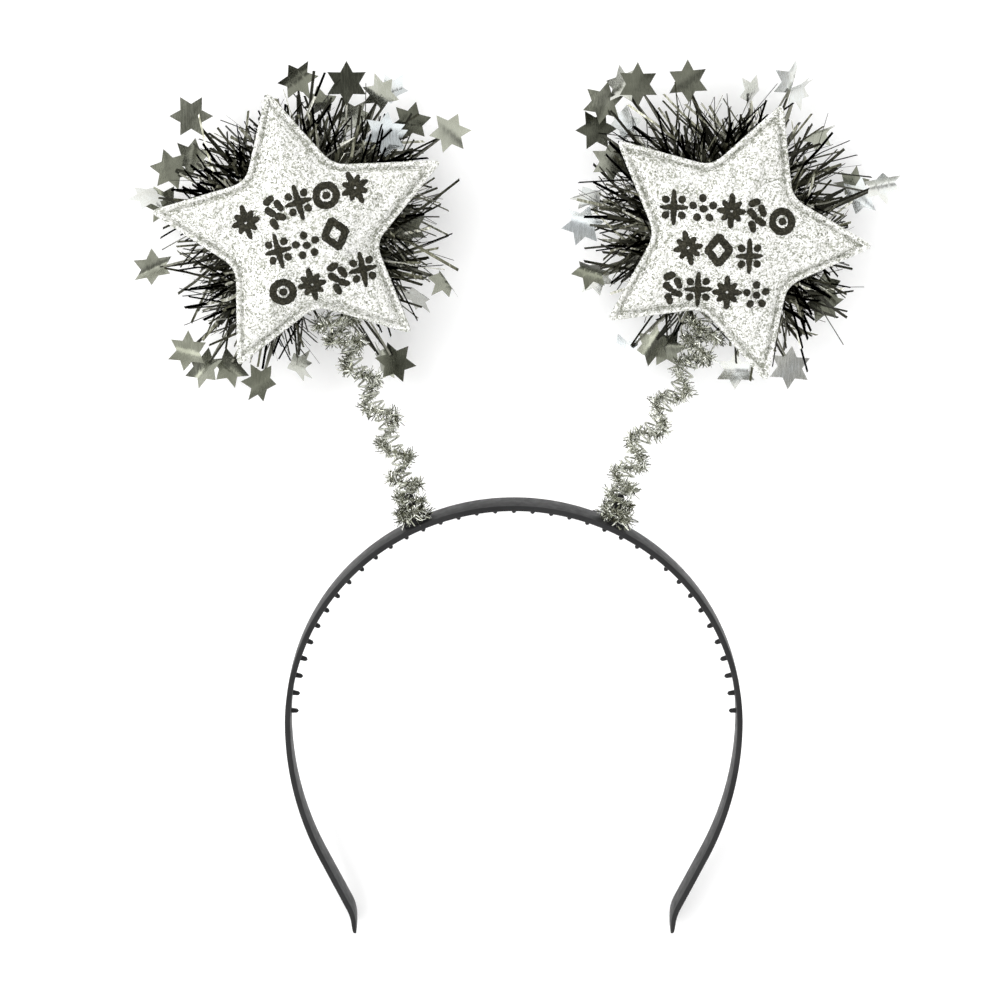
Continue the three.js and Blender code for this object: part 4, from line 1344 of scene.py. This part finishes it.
# Foil stars: turn, reach in mm, height in mm and twist as in the solids, then the way one point looks,
# tone from 0 dark to 1 bluish white, fold in degrees and the way of the crease
foils = {
    "reach": 0.0066,
    "notch": 0.0037,
    "thickness": 0.00012,
    "stemWidth": 0.0006,
    "left": [
        (2, 31, 18, 10, 30, 0.30, 10, 0), (34, 53, 21, 12, 8, 0.55, 18, 40), (47, 37.5, 20, 10, 25, 1.0, 25, 70),
        (60, 47, 16, 30, 40, 0.62, 30, 20), (73, 46, 23, 0, 30, 0.12, 4, 0), (92, 45, 17, 12, 5, 0.22, 34, 60),
        (134, 47.5, 21, 10, 0, 0.34, 8, 30), (155, 43.5, 19, 20, 50, 0.25, 14, 20), (168, 48, 11, 60, 10, 0.85, 10, 0),
        (194, 46.5, 19, 15, 35, 0.40, 34, 80), (226, 50.5, 18, 20, 25, 0.30, 20, 50), (241, 48, 10, 10, 40, 0.28, 26, 10),
        (254, 47.5, 20, 30, 55, 0.12, 22, 70), (304, 48.5, 11, 15, 51, 0.10, 5, 0), (329, 39, 12, 60, 20, 0.80, 15, 0),
        (341, 45, 20, 50, 30, 0.42, 50, 50),
    ],
    "right": [
        (16, 42, 11, 10, 20, 0.92, 30, 30), (19, 48.5, 21, 15, 40, 0.84, 40, 60), (49, 41, 17, 55, 10, 0.55, 40, 20),
        (67, 50, 13, 50, 30, 0.90, 45, 80), (105, 48, 21, 8, 33, 0.20, 16, 30), (121, 53, 21, 15, 30, 0.16, 10, 0),
        (133, 54.5, 17, 10, 18, 0.30, 14, 20), (147, 41.5, 20, 15, 30, 0.45, 10, 0), (164, 42.5, 15, 55, 45, 0.85, 25, 0),
        (175, 43.5, 21, 12, 10, 0.97, 14, 60), (194, 42, 18, 40, 5, 0.10, 40, 60), (229, 46.5, 19, 20, 50, 0.95, 12, 0),
        (237, 40, 9, 10, 20, 0.34, 26, 70), (275, 41, 11, 12, 30, 0.84, 30, 0), (296, 43.5, 20, 0, 25, 0.80, 4, 0),
        (325, 36, 13, 20, 10, 0.20, 20, 30),
    ],
    "moreLeft": [
        (50, 38.5, 25.8, 8, 22, 1.0, 12, 70), (170, 43.5, 8, 20, 0, 0.22, 20, 0), (234, 52, 12, 24, 20, 0.42, 22, 60),
        (267, 41, 15, 50, 15, 0.66, 40, 10), (82, 38.5, 12, 38, 20, 0.26, 46, 10), (57, 49, 10, 46, 50, 0.95, 30, 50),
        (45, 45.5, 14, 18, 12, 0.14, 20, 0), (67, 37, 9, 30, 0, 0.6, 30, 30), (300, 46.5, 7, 50, 0, 0.5, 30, 60),
        (148, 40, 10, 25, 20, 0.35, 20, 30),
    ],
    "moreRight": [
        (141, 50.5, 12, 12, 3, 0.12, 12, 40), (125, 55, 14, 26, 50, 0.72, 30, 20), (133, 45.5, 12, 40, 15, 0.9, 20, 60),
        (198, 41, 11, 40, 40, 0.80, 24, 0), (243, 38.5, 8, 14, 0, 0.36, 18, 30), (21, 41.5, 8, 30, 10, 0.3, 40, 40),
        (64, 48.5, 10, 60, 30, 0.85, 30, 0), (80, 43, 12, 60, 0, 0.8, 30, 60), (333, 34, 9, 40, 30, 0.4, 30, 0),
    ],
}


def foilTree():
    sockets = {"Reach": "Float", "Notch": "Float", "Thickness": "Float", "Curl": "Float"}
    tree, given = newTree("foilStars", {**sockets, "Seed": "Int", "Material": "Material"})
    points = put(tree, "GeometryNodeMeshToPoints", {"Mesh": given["Geometry"]}).outputs[0]
    curl = calc(tree, "MULTIPLY", randomNumber(tree, -1.0, 1.0, given["Seed"]), given["Curl"])
    points = storeAttribute(tree, points, "curl", curl, "FLOAT")
    inputs = {"Points": 6, "Inner Radius": given["Notch"], "Outer Radius": given["Reach"]}
    outline = put(tree, "GeometryNodeCurveStar", inputs).outputs["Curve"]
    film = put(tree, "GeometryNodeFillCurve", {"Curve": outline}, mode="TRIANGLES").outputs[0]
    film = put(tree, "GeometryNodeSubdivideMesh", {"Mesh": film, "Level": 2}).outputs[0]
    film = storeAttribute(tree, film, "flat", put(tree, "GeometryNodeInputPosition").outputs[0])
    inputs = {"Mesh": film, "Offset Scale": given["Thickness"], "Individual": False}
    thick = put(tree, "GeometryNodeExtrudeMesh", inputs).outputs["Mesh"]
    turned_ = put(tree, "GeometryNodeFlipFaces", {"Mesh": film}).outputs[0]
    join = tree.nodes.new("GeometryNodeJoinGeometry")
    tree.links.new(thick, join.inputs[0])
    tree.links.new(turned_, join.inputs[0])
    inputs = {"Geometry": join.outputs[0], "Distance": 0.000001}
    film = put(tree, "GeometryNodeMergeByDistance", inputs).outputs[0]
    facing = put(tree, "FunctionNodeEulerToRotation", {0: readAttribute(tree, "turns")}).outputs[0]
    inputs = {"Points": points, "Instance": film, "Rotation": facing}
    whole = put(tree, "GeometryNodeInstanceOnPoints", inputs).outputs[0]
    whole = put(tree, "GeometryNodeRealizeInstances", {"Geometry": whole}).outputs[0]
    flat, crease, creaseWorld = readAttribute(tree, "flat"), readAttribute(tree, "crease"), readAttribute(tree, "creaseWorld")
    lift, fold = readAttribute(tree, "lift"), readAttribute(tree, "fold", "FLOAT")
    away = vectorCalc(tree, "DOT_PRODUCT", flat, crease)
    soft = calc(tree, "SUBTRACT", calc(tree, "SQRT", calc(tree, "ADD", calc(tree, "MULTIPLY", away, away), 0.0000008)), 0.0009)
    rise = calc(tree, "MULTIPLY", soft, calc(tree, "SINE", fold))
    along = vectorCalc(tree, "LENGTH", flat)
    rise = calc(tree, "ADD", rise, calc(tree, "MULTIPLY", calc(tree, "MULTIPLY", along, along), readAttribute(tree, "curl", "FLOAT")))
    draw = calc(tree, "MULTIPLY", away, calc(tree, "SUBTRACT", calc(tree, "COSINE", fold), 1.0))
    offset = vectorCalc(tree, "ADD", scaled(tree, lift, rise), scaled(tree, creaseWorld, draw))
    whole = put(tree, "GeometryNodeSetPosition", {"Geometry": whole, "Offset": offset}).outputs[0]
    endTree(tree, whole, given["Material"])
    return tree


# Film stems from the wound ring to the foil stars
def stemMesh(foot, tip, bow, width, material):
    line = [foot.lerp(tip, i / 6) + bow * math.sin(math.pi * i / 6) for i in range(7)]
    way = (tip - foot).normalized()
    aside = way.cross(Vector((0, 0, 1))).normalized()
    above = aside.cross(way)
    rings = []
    for point in line:
        rings.append([point + aside * a * width / 2 + above * b * 0.00006 for a, b in ((-1, -1), (1, -1), (1, 1), (-1, 1))])
    mesh = outward(newMesh("stem", *skin(rings)))
    mesh.materials.append(material)
    return mesh


def makeFoils():
    tree = foilTree()
    rng = random.Random(21)
    for name, side in sides.items():
        middle = starMiddle(side)
        wanted = foils[name] + foils["more" + name.capitalize()]
        columns = {"turns": [], "crease": [], "creaseWorld": [], "lift": []}
        places, tones, folds, stems = [], [], [], []
        for turn, reach, height, twist, point, tone, fold, crease in wanted:
            spot = middle + polar(turn, reach * 0.001)
            spot.z = height * 0.001
            spin = (point - turn + 30) % 60 - 30
            lay = Matrix.Rotation(math.radians(turn), 3, "Z") @ Matrix.Rotation(math.radians(twist), 3, "X")
            lay = lay @ Matrix.Rotation(math.radians(spin), 3, "Z")
            local = polar(crease, 1.0)
            places.append(spot)
            columns["turns"].append(lay.to_euler())
            columns["crease"].append(local)
            columns["creaseWorld"].append(lay @ local)
            columns["lift"].append(lay @ Vector((0, 0, -1 if rng.random() < 0.5 else 1)))
            tones.append(tone)
            folds.append(math.radians(fold))
            for _ in range(3):
                foot = middle + polar(turn + rng.uniform(-14, 14), wreath["coreRadius"], -wreath["drop"])
                tip = spot + (foot - spot).normalized() * rng.uniform(0.002, 0.005)
                bow = Vector([rng.uniform(-1, 1) * 0.0012 for _ in range(3)])
                stems.append(stemMesh(foot, tip, bow, foils["stemWidth"], rng.choice([blackFilm, blackFilm, stemFilm])))
        seeds = newMesh("foilSeeds", places)
        for key, values in columns.items():
            addAttribute(seeds, key, [tuple(v) for v in values])
        addAttribute(seeds, "tone", tones, "FLOAT")
        addAttribute(seeds, "fold", folds, "FLOAT")
        mesh = grow("foils", seeds, tree, {
            "Reach": foils["reach"],
            "Notch": foils["notch"],
            "Thickness": foils["thickness"],
            "Curl": 14.0,
            "Seed": 5,
            "Material": foilFilm,
        })
        low = min(v.co.z for v in mesh.vertices)
        print("foils", name, len(mesh.polygons), "faces, lowest", round(low * 1000, 2), "mm")
        nodes = [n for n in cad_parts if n.startswith(f"foil_star_{name}")]
        piece = gather(f"foilStars_{name}", [mesh], keep=("tone",))
        finishPiece(piece, nodes, smooth=True)
        sharpen(piece, 35)
        stalks = gather(f"foilStems_{name}", stems)
        finishPiece(stalks, [], smooth=False)


makeFoils()
print("foil stars made")

# Blocks behind the stars keep their solids
for name in sides:
    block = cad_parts[f"spring_socket_{name}"]
    block.data.materials.clear()
    block.data.materials.append(socketPlastic)
